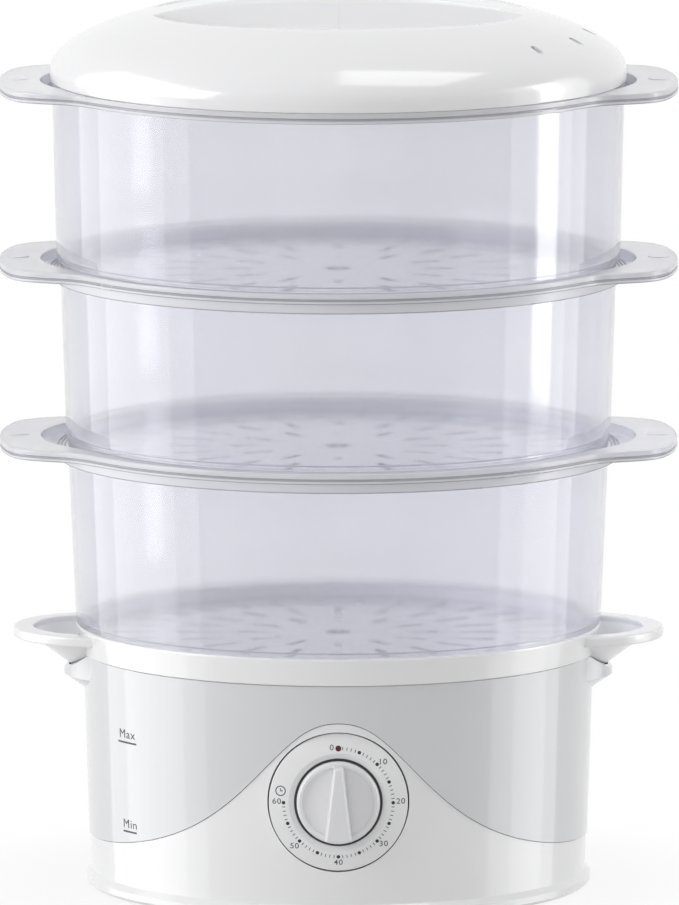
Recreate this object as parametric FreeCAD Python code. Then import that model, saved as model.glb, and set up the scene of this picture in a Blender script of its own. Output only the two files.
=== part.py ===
import FreeCAD, Part
import math
import os

from FreeCAD import Vector

# Electric food steamer: round base with a water tank and a clockwork timer, a drip tray with
# a filling scoop on each side, three stacked baskets and a domed lid.
# Millimetres, +Z up, front of the appliance towards -Y, origin on the standing surface below
# the centre of the base.

# ---- housing -------------------------------------------------------------------------------
housing_top_z = 104.6
housing_top_r = 113.1
housing_draft = 3.1        # the housing narrows by this much down to the foot
foot_crease_z = 7.4
foot_flare = 1.9
foot_rim_z = 0.8
foot_bevel = 1.5
foot_flare_drop = 2.4      # below the crease
shell_wall = 2.5
seam_step = 0.5            # the apron stands this far behind the tank's outer skin
shell_gap = 0.4            # between the apron and what it wraps

# ---- dial, on the front of the apron -------------------------------------------------------
dial_top_z = 84.0          # the dial's upper edge
dial_r = 30.8
dial_proud = 1.04          # of the apron's foremost line
dial_gap = 0.3
dial_well_r = 21.8
dial_well_floor_r = 19.9
dial_well_depth = 3.0
dial_floor_t = 2.0
dial_skirt_t = 2.0
dial_catch = 1.8
dial_catch_t = 1.5
niche_clear = 2.4          # around the dial's skirt
niche_depth = 44.0         # behind the dial's face

# ---- seam between apron and tank: low at the sides, an arch over the dial -------------------
seam_cover = 1.33          # the seam's low ends, above the tank's underside
seam_arch_margin = 4.0     # the arch clears the dial by this much
seam_shoulder = 18.1
seam_power = 2.32

# ---- water tank ----------------------------------------------------------------------------
tank_wall = 2.4
tank_under_z = 21.5
tank_floor_t = 2.5
post_count = 4
post_inset = 22.0
post_r = 4.5
pilot_short = 3.0          # the posts' pilot holes end this far below the tank
cup_inset = 26.7           # cup's centre, inside the housing's top rim
cup_foot_r = 26.0
cup_foot_drop = 16.9       # heights below the tank's rim
cup_side_drop = 10.6
cup_tip_drop = 8.4
cup_rim_inset = 2.2
cup_play = 4.9             # from the chute's spout to the cup's tip
cup_wall = 2.0

# ---- bottom --------------------------------------------------------------------------------
cover_z = 2.0
cover_t = 2.0
cover_lip_t = 2.0
cover_lip_w = 12.0
seat_ledge_w = 10.0
seat_ledge_t = 2.0
foot_pad_r = 8.0
foot_stem_r = 3.0
screw_r = 1.25
screw_head_r = 3.2
screw_head_t = 1.3
pilot_clear = 0.05
cover_screw_short = 5.0    # the screws end this far below the tank
cover_hole_clear = 0.4
cover_edge_gap = 0.3
foot_stem_past = 1.5       # above the cover
bottom_vent_near = 50.0
bottom_vent_far = 72.0
bottom_vent_w = 3.0
bottom_vent_pitch = 8.0
bottom_vent_count = 5

# ---- heater --------------------------------------------------------------------------------
element_r = 29.0
element_h = 14.0           # above the tank's floor
element_t = 1.2
element_flange_w = 8.5
element_hole_gap = 1.5
element_screw_inset = 4.5
element_screw_r = 1.5
seal_t = 1.5
tube_ring_inset = 9.0
tube_r = 3.3
tube_leg_angle = 24.0      # each leg stands this far from the front, in degrees
tube_leg_drop = 5.5        # below the tank
clamp_t = 2.0
thermostat_r = 8.0
thermostat_h = 8.0
element_bevel = 2.0
seal_inset = 0.5
clamp_over = 2.0           # past the heater's flange
nut_r = 2.7
nut_t = 2.4
element_head_r = 2.9
element_head_t = 1.6
tube_pin_r = 1.6
tube_pin_h = 6.0
lug_w = 3.0
lug_h = 6.0
lug_gap = 6.0
lug_inset = 1.0
fuse_r = 1.8
fuse_length = 11.0
fuse_lead_r = 0.5
fuse_lead_length = 3.0

# ---- timer ---------------------------------------------------------------------------------
knob_r = 19.3
knob_chamfer = 1.6
knob_lift = 0.4            # knob skirt above the floor of the dial's well
knob_skirt_h = 4.5
knob_grip_h = 9.0
knob_bevel = 1.0
knob_rim_w = 1.4
knob_rim_dip = 1.2
knob_face_dip = 1.6
knob_skirt_wall = 2.4
knob_hollow_h = 2.0
knob_bore_past = 4.0       # past the knob's skirt, into the grip
grip_wide = 12.4
grip_narrow = 4.4
shaft_r = 3.0
shaft_flat = 0.8           # depth of the flat
shaft_past = 3.8           # past the knob's skirt, into the grip
shaft_flat_foot = 2.0      # from the timer's cover to the flat
shaft_hole_clear = 1.0     # round the shaft, in the dial plate
journal_r = 1.94
fit_close = 0.05
fit_running = 0.06
case_clear = 3.58          # from the pinion's teeth to the case
case_depth = 22.5
case_wall = 1.2
case_cover_t = 1.5
timer_screw_x = 14.0
timer_screw_r = 1.5
timer_head_r = 2.6
timer_head_t = 1.4
timer_hole_clear = 0.15
timer_screw_past = 2.0     # behind the cover
pillar_r = 4.0
pillar_h = 1.0
dial_edge_bevel = 0.4
catch_play = 0.5
journal_h = 3.0
wheel_teeth = 36
pinion_teeth = 12
tooth_module = 0.62
tooth_backlash = 0.16
wheel_t = 2.0
pivot_r = 0.8
cam_clear = 1.68           # from the cam to the pinion's arbor
cam_t = 2.0
cam_drop = 3.5             # the cam's back face, behind the wheel
cam_notch_w = 4.0
cam_notch_depth = 3.0
wheel_drop = 6.5           # the wheel's back face, behind the case's mouth
pinion_past = 0.3          # past each face of the wheel
arbor_step = 0.4
arbor_play = 0.3
spring_turns = 6
spring_leaf = 0.5
spring_play = 0.4
spring_spread = 0.6        # past the cam
spring_back_gap = 4.0
spring_h = 7.0
tab_x = 8.0
tab_reach = 5.0            # the tabs stand this far below the case
tab_w = 4.0
tab_t = 0.8
tab_lift = 1.2             # the tabs' middle plane, above the cam's back face
tab_slot_side = 0.3
tab_slot_behind = 0.3
tab_slot_ahead = 0.4
tab_root = 5.0             # the tabs start this far inside the case
contact_reach = 7.0
bell_r = 16.0
bell_depth = 8.0
bell_gap = 2.0             # behind the case
bell_wall = 1.0
bell_bevel = 3.0
bell_post_r = 4.0

# ---- steam ring ----------------------------------------------------------------------------
ring_clear = 8.5           # around the heater's flange
ring_taper = 12.0
ring_headroom = 10.0       # under the drip tray
ring_wall = 1.6
ring_skirt_h = 8.0
ring_notch_w = 10.0
ring_notch_h = 5.0
ring_notch_inset = 12.0
ring_notch_count = 4

# ---- drip tray -----------------------------------------------------------------------------
collar_h = 12.5
collar_overhang = 1.1
collar_flare = 2.2
collar_wall = 1.0
collar_lean = 0.4          # the collar's inner face widens by this much to its rim
tray_ledge_t = 2.6
basin_inset = 6.6
basin_wall = 2.2
basin_depth = 10.6
basin_floor_t = 2.2
chimney_r = 28.0
chimney_h = 7.0
chimney_wall = 2.0
cap_r = 34.0
cap_slot_h = 3.0
cap_t = 2.0
cap_ribs = 6
cap_rib_r = 1.8
cap_rib_inset = 1.0
cap_rib_root = 2.0
scoop_inset = 10.2         # scoop's centre, inside the collar
scoop_r = 40.0
scoop_drop = 1.9           # below the collar's rim
scoop_lip_t = 4.5
scoop_pocket_r = 31.0
scoop_wall = 2.0
scoop_root = 0.5           # the scoop reaches this far into the basin's wall
chute_drop = 3.2           # below the scoop's top
chute_narrowing = 20.4
chute_foot_drop = 8.1      # heights below the tank's rim
spout_drop = 11.1

# ---- baskets and lid -----------------------------------------------------------------------
# name: step out from the piece below, flare of the wall, depth of the skirt under the flange
basket_steps = {
    "bottom": (-0.2, 3.3, 9.0),
    "middle": (0.9, 2.4, 9.0),
    "top": (1.8, 1.7, 4.9),
}
first_basket_h = 83.3
basket_pitch = 79.1
basket_wall = 2.0
spigot_h = 8.4
spigot_gap = 0.55
flange_overhang = 1.0      # past the top basket's rim
flange_t = 3.2
skirt_wall = 1.6
skirt_gap_min = 1.2        # from the wall to the skirt
skirt_gap_max = 3.4
skirt_flange_inset = 1.4
flange_bite = 1.0          # flange and ears reach this far into the wall
ear_reach = 22.7
ear_half_angle = 23.5
ear_power = 10
ear_pocket_r = 70.6
ear_pocket_reach = 4.3
ear_pocket_depth = 4.6
ear_pan_wall = 1.6
floor_lip = 3.0
floor_lip_t = 1.6
floor_t = 1.8
floor_edge_gap = 0.3
floor_slot_w = 3.6
floor_hub_r = 6.0
floor_rings = ((80.3, 14.0, 12), (56.3, 18.0, 20), (30.3, 20.0, 30))   # inset, length, count
lid_side_h = 4.0
lid_rise = 34.3
lid_wall = 2.2
lid_lip_gap = 0.7
lid_lip_h = 4.6
lid_lip_t = 1.8
recess_inset = 43.3
recess_centre_y = 4.0
recess_floor_h = 21.4      # above the lid's seat
grip_half_mid = 5.0
grip_half_end = 15.0
vent_inset = 18.8
vent_angles = (-36, -18, 0, 18, 36)
vent_length = 8.5
vent_width = 3.6
vent_foot_h = 6.0          # above the lid's seat
lid_shelf_t = 2.0
lid_shelf_inset = 0.5

# ---- electrics -----------------------------------------------------------------------------
block_size = (30.0, 16.0, 12.0)
block_y = 52.0
bushing_z = 14.0
bushing_r = 4.6
bushing_bore_r = 3.0
bushing_head_r = 6.2
bushing_collar_r = 5.4
wire_r = 1.2
wire_bend_r = 3.5
wire_low = 4.0             # lowest lead, above the bottom cover
wire_gap = 0.1             # from a lead's bare end to its terminal
block_bore_r = 2.2
block_bore_depth = 5.0
bushing_clear = 0.1
bushing_play = 0.3         # from the bushing's flanges to the wall
bushing_proud = 3.0
bushing_collar_gap = 0.5
bushing_collar_t = 2.0
bushing_tail = 2.0

# ---- sizes that follow ---------------------------------------------------------------------
housing_foot_r = housing_top_r - housing_draft
foot_flare_r = housing_foot_r + foot_flare
dial_z = dial_top_z - dial_r
seam_side_z = tank_under_z + seam_cover
seam_top_z = dial_top_z + seam_arch_margin
seam_half_width = dial_r + seam_shoulder
niche_r = dial_r + niche_clear
tank_floor_z = tank_under_z + tank_floor_t
post_circle_r = housing_foot_r - post_inset
element_top_z = tank_floor_z + element_h
element_flange_r = element_r + element_flange_w
element_hole_r = element_r + element_hole_gap
element_screw_circle_r = element_r + element_screw_inset
tube_ring_r = element_r - tube_ring_inset
tube_leg_end_z = tank_under_z - tube_leg_drop
knob_face_r = knob_r - knob_chamfer
arbor_r = pivot_r + arbor_step
pinion_y = tooth_module * (wheel_teeth + pinion_teeth) / 2
pinion_tip_r = tooth_module * (pinion_teeth / 2 + 1)
cam_r = pinion_y - arbor_r - cam_clear
case_r = pinion_y + pinion_tip_r + case_clear + case_wall
collar_foot_r = housing_top_r + collar_overhang
collar_top_r = collar_foot_r + collar_flare
collar_inner_r = collar_foot_r - collar_wall
collar_top_z = housing_top_z + collar_h
basin_r = housing_top_r - basin_inset
basin_under_z = housing_top_z - basin_depth
ring_foot_r = element_flange_r + ring_clear
ring_top_r = ring_foot_r - ring_taper
ring_top_z = basin_under_z - ring_headroom
scoop_centre_x = collar_foot_r - scoop_inset
scoop_top_z = collar_top_z - scoop_drop
chute_top_r = scoop_pocket_r + scoop_wall
chute_top_z = scoop_top_z - chute_drop
chute_foot_r = chute_top_r - chute_narrowing
chute_foot_z = housing_top_z - chute_foot_drop
cup_centre_x = housing_top_r - cup_inset
cup_r = scoop_centre_x + chute_foot_r + cup_play - cup_centre_x

long_cut = 30.0            # how far large cutting tools run past the body they cut
cut = 1.0                  # the same for small ones, and the bite of fused pieces


def save(name, shape):
    """Write one node, after checking that it is sound."""
    shape = shape.removeSplitter()
    if not shape.isValid():
        raise ValueError(name + " is not a sound solid")
    shape.exportStep("parts/" + name + ".step")
    print(name, len(shape.Solids), round(shape.Volume))


def revolve(points):
    """Solid of revolution about Z from an outline of (radius, height) points."""
    wire = Part.makePolygon([Vector(r, 0, z) for r, z in points + [points[0]]])
    return Part.Face(wire).revolve(Vector(0, 0, 0), Vector(0, 0, 1), 360)


def cylinder(radius, z0, z1, x=0.0, y=0.0):
    return Part.makeCylinder(radius, z1 - z0, Vector(x, y, z0))


def cone(r0, z0, r1, z1, x=0.0):
    return Part.makeCone(r0, r1, z1 - z0, Vector(x, 0, z0))


def tube(outer, inner, z0, z1, x=0.0, y=0.0):
    return cylinder(outer, z0, z1, x, y).cut(cylinder(inner, z0 - 1, z1 + 1, x, y))


def block(x0, x1, y0, y1, z0, z1):
    return Part.makeBox(x1 - x0, y1 - y0, z1 - z0, Vector(x0, y0, z0))


def polar(radius, degrees):
    angle = math.radians(degrees)
    return radius * math.cos(angle), radius * math.sin(angle)


def to_front(shape):
    """Turn a timer part, drawn with +Z out of the dial and +Y up, to its place."""
    shape = shape.copy()
    shape.rotate(Vector(0, 0, 0), Vector(1, 0, 0), 90)
    shape.translate(Vector(0, 0, dial_z))
    return shape


def fuse_all(shapes):
    return shapes[0].multiFuse(shapes[1:])


def housing_r(z):
    share = (z - foot_crease_z) / (housing_top_z - foot_crease_z)
    return housing_foot_r + (housing_top_r - housing_foot_r) * share


def housing_core(z0, z1, inset):
    """The space inside the tapered housing, inset from its outer skin."""
    return cone(housing_r(z0) - inset, z0, housing_r(z1) - inset, z1)


dial_face = housing_r(dial_z) - seam_step + dial_proud


def seam_share(x):
    return 1 / (1 + (abs(x) / seam_half_width) ** seam_power)


def seam_z(x):
    """Height of the seam in front: the arch's top over the dial, its low ends at the sides."""
    low = seam_share(housing_r(seam_side_z))
    rise = (seam_share(x) - low) / (1 - low)
    return seam_side_z + (seam_top_z - seam_side_z) * rise


def above_seam(lift):
    """Everything higher than the seam: an arch over the dial in front, level behind."""
    reach = housing_top_r + long_cut
    steps = 28
    xs = [reach * (2 * i / steps - 1) for i in range(steps + 1)]
    curve = Part.BSplineCurve()
    curve.interpolate([Vector(x, -reach, seam_z(x) + lift) for x in xs])
    top = housing_top_z + long_cut
    low = curve.StartPoint.z
    corners = [Vector(reach, -reach, low), Vector(reach, -reach, top),
               Vector(-reach, -reach, top), Vector(-reach, -reach, low)]
    sides = [Part.makeLine(a, b) for a, b in zip(corners, corners[1:])]
    front = Part.Face(Part.Wire([curve.toShape()] + sides)).extrude(Vector(0, reach, 0))
    level = seam_side_z + lift
    return front.fuse(block(-reach, reach, 0, reach, level, top))


def niche(grow):
    """Arched space in the tank's front for the timer, open to the compartment below."""
    radius = niche_r + grow
    back = dial_face - niche_depth - grow
    arch = Part.makeCylinder(radius, housing_top_r, Vector(0, -back - housing_top_r, dial_z),
                             Vector(0, 1, 0))
    low = tank_under_z - long_cut if grow == 0 else tank_under_z
    legs = block(-radius, radius, -back - housing_top_r, -back, low, dial_z)
    return arch.fuse(legs)


def cup(side):
    """Outer body and hollow of one filling cup on the tank's side."""
    x = side * cup_centre_x
    top = housing_top_z + long_cut
    foot_z = housing_top_z - cup_foot_drop
    side_z = housing_top_z - cup_side_drop
    outer = fuse_all([cone(cup_foot_r, foot_z, cup_r, side_z, x),
                      cylinder(cup_r, side_z, housing_top_z, x)])
    # the rim slopes down from the tank's rim to the cup's tip
    rim_in = housing_top_r - cup_rim_inset
    tip = cup_centre_x + cup_r
    far = tip + long_cut
    far_z = housing_top_z - cup_tip_drop * (far - rim_in) / (tip - rim_in)
    slope = [(rim_in, housing_top_z), (far, far_z), (far, top), (rim_in, top)]
    wire = Part.makePolygon([Vector(side * px, -long_cut * 2, pz) for px, pz in slope + [slope[0]]])
    outer = outer.cut(Part.Face(wire).extrude(Vector(0, long_cut * 4, 0)))
    outer = outer.cut(housing_core(foot_z - cut, housing_top_z + cut, cut))
    hollow = fuse_all([cone(cup_foot_r - cup_wall, foot_z + cup_wall, cup_r - cup_wall, side_z, x),
                       cylinder(cup_r - cup_wall, side_z, top, x)])
    return outer, hollow


def make_tank():
    inset = seam_step + shell_wall + shell_gap
    skin = housing_core(foot_crease_z, housing_top_z, 0).common(above_seam(shell_gap))
    inner = housing_core(tank_under_z, housing_top_z, inset)
    wide = housing_core(tank_floor_z, housing_top_z + cut, shell_wall)
    wide = wide.common(above_seam(shell_gap + shell_wall))
    cavity = housing_core(tank_floor_z, housing_top_z + cut, inset + tank_wall).fuse(wide)
    body = skin.fuse(inner)
    tank = body.cut(cavity).fuse(niche(tank_wall).common(body)).cut(niche(0))
    for side in (-1, 1):
        outer, hollow = cup(side)
        tank = tank.fuse(outer).cut(hollow)
    tank = tank.cut(cylinder(element_hole_r, tank_under_z - cut, tank_floor_z + cut))
    for i in range(post_count):
        x, y = polar(post_circle_r, 45 + i * 360 / post_count)
        tank = tank.fuse(cylinder(post_r, cover_z + cover_t, tank_under_z + cut, x, y))
        tank = tank.cut(cylinder(screw_r + pilot_clear, cover_z, tank_under_z - pilot_short, x, y))
    for x, y in element_screw_places():
        tank = tank.cut(cylinder(element_screw_r + fit_close, tank_under_z - cut,
                                 tank_floor_z + cut, x, y))
    return tank


def make_apron():
    top = seam_top_z + cut
    skin = seam_step
    wall = seam_step + shell_wall
    lip_z = cover_z + cover_t
    lip_top = lip_z + cover_lip_t
    ledge_under = tank_under_z - seat_ledge_t
    foot_inner = housing_r(lip_z) - wall
    outline = [
        (foot_flare_r - foot_bevel, foot_rim_z),
        (foot_flare_r, foot_rim_z + foot_bevel),
        (foot_flare_r, foot_crease_z - foot_flare_drop),
        (housing_r(foot_crease_z) - skin, foot_crease_z),
        (housing_r(top) - skin, top),
        (housing_r(top) - wall, top),
        (housing_r(tank_under_z) - wall, tank_under_z),
        (housing_foot_r - seat_ledge_w, tank_under_z),
        (housing_foot_r - seat_ledge_w, ledge_under),
        (housing_r(ledge_under) - wall, ledge_under),
        (housing_r(lip_top) - wall, lip_top),
        (housing_foot_r - cover_lip_w, lip_top),
        (housing_foot_r - cover_lip_w, lip_z),
        (foot_inner, lip_z),
        (foot_inner, foot_rim_z),
    ]
    apron = revolve(outline).cut(above_seam(0))
    hole = Part.makeCylinder(dial_r + dial_gap, housing_top_r, Vector(0, 0, dial_z),
                             Vector(0, -1, 0))
    cord_hole = Part.makeCylinder(bushing_r + bushing_clear, housing_top_r,
                                  Vector(0, 0, bushing_z), Vector(0, 1, 0))
    # the niche runs through the ledge, so the timer's wires can pass
    niche_back = dial_face - niche_depth
    gap = block(-niche_r, niche_r, -housing_top_r, -niche_back, ledge_under - cut,
                tank_under_z + cut)
    gap = gap.common(housing_core(ledge_under - cut, tank_under_z + cut, wall))
    return apron.cut(hole).cut(cord_hole).cut(gap)


def foot_places():
    return [polar(post_circle_r, i * 90) for i in range(4)]


def make_bottom_cover():
    radius = housing_r(cover_z + cover_t) - seam_step - shell_wall - cover_edge_gap
    past = cover_z + cover_t + cut
    cover = cylinder(radius, cover_z, cover_z + cover_t)
    for i in range(post_count):
        x, y = polar(post_circle_r, 45 + i * 360 / post_count)
        cover = cover.cut(cylinder(screw_r + cover_hole_clear, 0, past, x, y))
    for x, y in foot_places():
        cover = cover.cut(cylinder(foot_stem_r + fit_close, 0, past, x, y))
    for i in range(bottom_vent_count):
        y = (i - (bottom_vent_count - 1) / 2) * bottom_vent_pitch
        half = bottom_vent_w / 2
        cover = cover.cut(block(bottom_vent_near, bottom_vent_far, y - half, y + half, 0, past))
    return cover


def make_feet():
    pads = []
    for x, y in foot_places():
        pad = cylinder(foot_pad_r, 0, cover_z, x, y)
        stem = cylinder(foot_stem_r, cover_z, cover_z + cover_t + foot_stem_past, x, y)
        pads.append(pad.fuse(stem))
    return Part.makeCompound(pads)


def make_cover_screws():
    screws = []
    for i in range(post_count):
        x, y = polar(post_circle_r, 45 + i * 360 / post_count)
        head = cylinder(screw_head_r, cover_z - screw_head_t, cover_z, x, y)
        shank = cylinder(screw_r, cover_z, tank_under_z - cover_screw_short, x, y)
        screws.append(head.fuse(shank))
    return Part.makeCompound(screws)


# ---- heater --------------------------------------------------------------------------------
def element_screw_places():
    return [polar(element_screw_circle_r, 90 + i * 120) for i in range(3)]


def make_element_plate():
    seat = tank_floor_z + seal_t
    bevel = element_bevel
    inner_bevel = bevel + element_t / 2
    outline = [
        (0, element_top_z), (element_r - bevel, element_top_z),
        (element_r, element_top_z - bevel), (element_r, seat + element_t),
        (element_flange_r, seat + element_t), (element_flange_r, seat),
        (element_r - element_t, seat), (element_r - element_t, element_top_z - inner_bevel),
        (element_r - inner_bevel, element_top_z - element_t), (0, element_top_z - element_t),
    ]
    return cut_screw_holes(revolve(outline))


def cut_screw_holes(shape):
    for x, y in element_screw_places():
        shape = shape.cut(cylinder(element_screw_r + fit_close, 0, element_top_z, x, y))
    return shape


def make_element_seal():
    return cut_screw_holes(tube(element_flange_r - seal_inset, element_hole_r, tank_floor_z,
                                tank_floor_z + seal_t))


def make_element_clamp():
    return cut_screw_holes(tube(element_flange_r + clamp_over, element_hole_r,
                                tank_under_z - clamp_t, tank_under_z))


def make_element_screws():
    low = tank_under_z - clamp_t
    top = tank_floor_z + seal_t + element_t
    screws = []
    for x, y in element_screw_places():
        nut = cylinder(nut_r, low - nut_t, low, x, y)
        head = cylinder(element_head_r, top, top + element_head_t, x, y)
        screws.append(fuse_all([nut, cylinder(element_screw_r, low, top, x, y), head]))
    return Part.makeCompound(screws)


def make_element_tube():
    z = element_top_z - element_t - tube_r
    sweep = 360 - 2 * tube_leg_angle
    ring = Part.makeTorus(tube_ring_r, tube_r, Vector(0, 0, z), Vector(0, 0, 1), -180, 180, sweep)
    ring.rotate(Vector(0, 0, 0), Vector(0, 0, 1), -90 + tube_leg_angle)
    parts = [ring]
    for x, y in tube_leg_places():
        parts.append(Part.makeSphere(tube_r, Vector(x, y, z)))
        parts.append(cylinder(tube_r, tube_leg_end_z + tube_pin_h, z, x, y))
        parts.append(cylinder(tube_pin_r, tube_leg_end_z, z, x, y))
    return fuse_all(parts)


def tube_leg_places():
    return [polar(tube_ring_r, -90 + side * tube_leg_angle) for side in (-1, 1)]


def make_thermostat():
    top = element_top_z - element_t
    low = top - thermostat_h
    body = cylinder(thermostat_r, low, top)
    reach = thermostat_r - lug_inset
    lugs = block(-reach, reach, -lug_w / 2, lug_w / 2, low - lug_h, low + cut)
    lugs = lugs.cut(block(-lug_gap / 2, lug_gap / 2, -lug_w, lug_w, low - lug_h - cut, low))
    return body.fuse(lugs)


def make_thermal_fuse():
    x = (thermostat_r + tube_ring_r - tube_r) / 2
    z = element_top_z - element_t - fuse_r
    end = -fuse_length / 2
    body = Part.makeCylinder(fuse_r, fuse_length, Vector(x, end, z), Vector(0, 1, 0))
    lead = Part.makeCylinder(fuse_lead_r, fuse_lead_length, Vector(x, end - fuse_lead_length, z),
                             Vector(0, 1, 0))
    return body.fuse(lead)


# ---- timer ---------------------------------------------------------------------------------
well_floor = dial_face - dial_well_depth
dial_back = well_floor - dial_floor_t
cover_front = dial_back - pillar_h
case_front = cover_front - case_cover_t
case_back = case_front - case_depth
knob_back = well_floor + knob_lift
knob_top = knob_back + knob_skirt_h
flat_y = shaft_r - shaft_flat
wheel_z = case_front - wheel_drop
cam_z = wheel_z - cam_drop
tab_z = cam_z + tab_lift


def make_dial_plate():
    catch_r = dial_r + dial_catch
    catch_front = math.sqrt((housing_r(dial_z) - seam_step - shell_wall) ** 2 - catch_r ** 2)
    catch_front -= catch_play
    catch_back = catch_front - dial_catch_t
    hole_r = shaft_r + shaft_hole_clear
    outline = [
        (hole_r, dial_back), (hole_r, well_floor), (dial_well_floor_r, well_floor),
        (dial_well_r, dial_face), (dial_r - dial_edge_bevel, dial_face),
        (dial_r, dial_face - dial_edge_bevel), (dial_r, catch_front), (catch_r, catch_front),
        (catch_r, catch_back), (dial_r - dial_skirt_t, catch_back),
        (dial_r - dial_skirt_t, dial_back),
    ]
    plate = revolve(outline)
    for side in (-1, 1):
        plate = plate.cut(cylinder(timer_screw_r + timer_hole_clear, 0, dial_face,
                                   side * timer_screw_x))
    return to_front(plate)


def d_shaft(radius, flat, z0, z1):
    return cylinder(radius, z0, z1).cut(block(-radius, radius, flat, radius + cut, z0 - cut,
                                              z1 + cut))


def make_knob():
    outline = [
        (0, knob_back), (knob_r, knob_back), (knob_r, knob_top - knob_bevel),
        (knob_face_r, knob_top), (knob_face_r - knob_rim_w, knob_top - knob_rim_dip),
        (0, knob_top - knob_face_dip),
    ]
    knob = revolve(outline)
    reach = knob_face_r
    root = knob_back + knob_hollow_h
    plan = [(-grip_wide / 2, -reach), (grip_wide / 2, -reach),
            (grip_narrow / 2, reach), (-grip_narrow / 2, reach)]
    wire = Part.makePolygon([Vector(x, y, root) for x, y in plan + [plan[0]]])
    grip = Part.Face(wire).extrude(Vector(0, 0, knob_top + knob_grip_h - root))
    grip = grip.common(cylinder(knob_face_r, knob_back, knob_top + knob_grip_h))
    hollow = tube(knob_r - knob_skirt_wall, shaft_r + knob_skirt_wall, knob_back - cut, root)
    bore = d_shaft(shaft_r + fit_close, flat_y + fit_close, knob_back - cut,
                   knob_top + knob_bore_past)
    return to_front(knob.fuse(grip).cut(hollow).cut(bore))


def make_shaft():
    journal_end = case_back + journal_h
    flat_foot = cover_front + shaft_flat_foot
    plain = cylinder(shaft_r, journal_end, flat_foot)
    flat = d_shaft(shaft_r, flat_y, flat_foot, knob_top + shaft_past)
    journal = cylinder(journal_r, case_back - cut, journal_end)
    return to_front(fuse_all([plain, flat, journal]))


def make_case():
    low = case_back - cut
    inside = case_back + case_wall
    case = cylinder(case_r, case_back, case_front)
    case = case.cut(cylinder(case_r - case_wall, inside, case_front + cut))
    case = case.cut(cylinder(journal_r + fit_running, low, inside + cut))
    case = case.cut(cylinder(pivot_r + fit_running, low, inside + cut, 0, pinion_y))
    half = tab_w / 2 + tab_slot_side
    for side in (-1, 1):
        case = case.cut(block(side * tab_x - half, side * tab_x + half, -case_r - cut,
                              -case_r + tab_root + cut, tab_z - tab_t / 2 - tab_slot_behind,
                              tab_z + tab_t / 2 + tab_slot_ahead))
    return to_front(case)


def make_case_cover():
    cover = cylinder(case_r, case_front, cover_front)
    for side in (-1, 1):
        x = side * timer_screw_x
        cover = cover.fuse(cylinder(pillar_r, cover_front, dial_back, x))
        cover = cover.cut(cylinder(timer_screw_r + fit_close, 0, dial_face, x))
    cover = cover.cut(cylinder(shaft_r + fit_running, 0, dial_face))
    cover = cover.cut(cylinder(pivot_r + fit_running, 0, dial_face, 0, pinion_y))
    return to_front(cover)


def make_timer_screws():
    screws = []
    for side in (-1, 1):
        x = side * timer_screw_x
        head = cylinder(timer_head_r, well_floor, well_floor + timer_head_t, x)
        shank = cylinder(timer_screw_r, case_front - timer_screw_past, well_floor, x)
        screws.append(head.fuse(shank))
    return to_front(Part.makeCompound(screws))


def gear_outline(teeth, turn):
    """Points of a spur gear with involute flanks, first tooth centred on the angle `turn`."""
    pitch_r = tooth_module * teeth / 2
    pressure = math.radians(20)
    base_r = pitch_r * math.cos(pressure)
    tip_r = pitch_r + tooth_module
    root_r = pitch_r - 1.3 * tooth_module
    half_tooth = math.pi / (2 * teeth) - tooth_backlash / (2 * pitch_r)
    offset = half_tooth + math.tan(pressure) - pressure
    steps = 5
    flank = []
    for i in range(steps):
        r = max(base_r, root_r) + (tip_r - max(base_r, root_r)) * i / (steps - 1)
        roll = math.sqrt(max(r * r / base_r ** 2 - 1, 0))
        flank.append((r, offset - (roll - math.atan(roll))))
    if root_r < base_r:
        flank.insert(0, (root_r, flank[0][1]))
    points = []
    for n in range(teeth):
        middle = turn + 2 * math.pi * n / teeth
        points += [(r, middle - a) for r, a in flank]
        points += [(r, middle + a) for r, a in reversed(flank)]
    return [Vector(r * math.cos(a), r * math.sin(a), 0) for r, a in points]


def make_gear(teeth, turn, z0, z1, y):
    points = gear_outline(teeth, turn)
    face = Part.Face(Part.makePolygon(points + [points[0]]))
    gear = face.extrude(Vector(0, 0, z1 - z0))
    gear.translate(Vector(0, y, z0))
    return gear


def make_main_wheel():
    wheel = make_gear(wheel_teeth, math.pi / 2, wheel_z, wheel_z + wheel_t, 0)
    return to_front(wheel.cut(cylinder(shaft_r + fit_close, 0, dial_face)))


def make_pinion():
    gap_turn = math.pi / pinion_teeth - math.pi / 2
    pinion = make_gear(pinion_teeth, gap_turn, wheel_z - pinion_past,
                       wheel_z + wheel_t + pinion_past, pinion_y)
    arbor = cylinder(arbor_r, case_back + case_wall + arbor_play,
                     case_front - arbor_play, 0, pinion_y)
    pivots = cylinder(pivot_r, case_back, cover_front, 0, pinion_y)
    return to_front(fuse_all([pinion, arbor, pivots]))


def make_cam():
    cam = cylinder(cam_r, cam_z, cam_z + cam_t)
    half = cam_notch_w / 2
    notch = block(-half, half, -cam_r - cut, -cam_r + cam_notch_depth, cam_z - cut,
                  cam_z + cam_t + cut)
    return to_front(cam.cut(notch).cut(cylinder(shaft_r + fit_close, 0, dial_face)))


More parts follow.
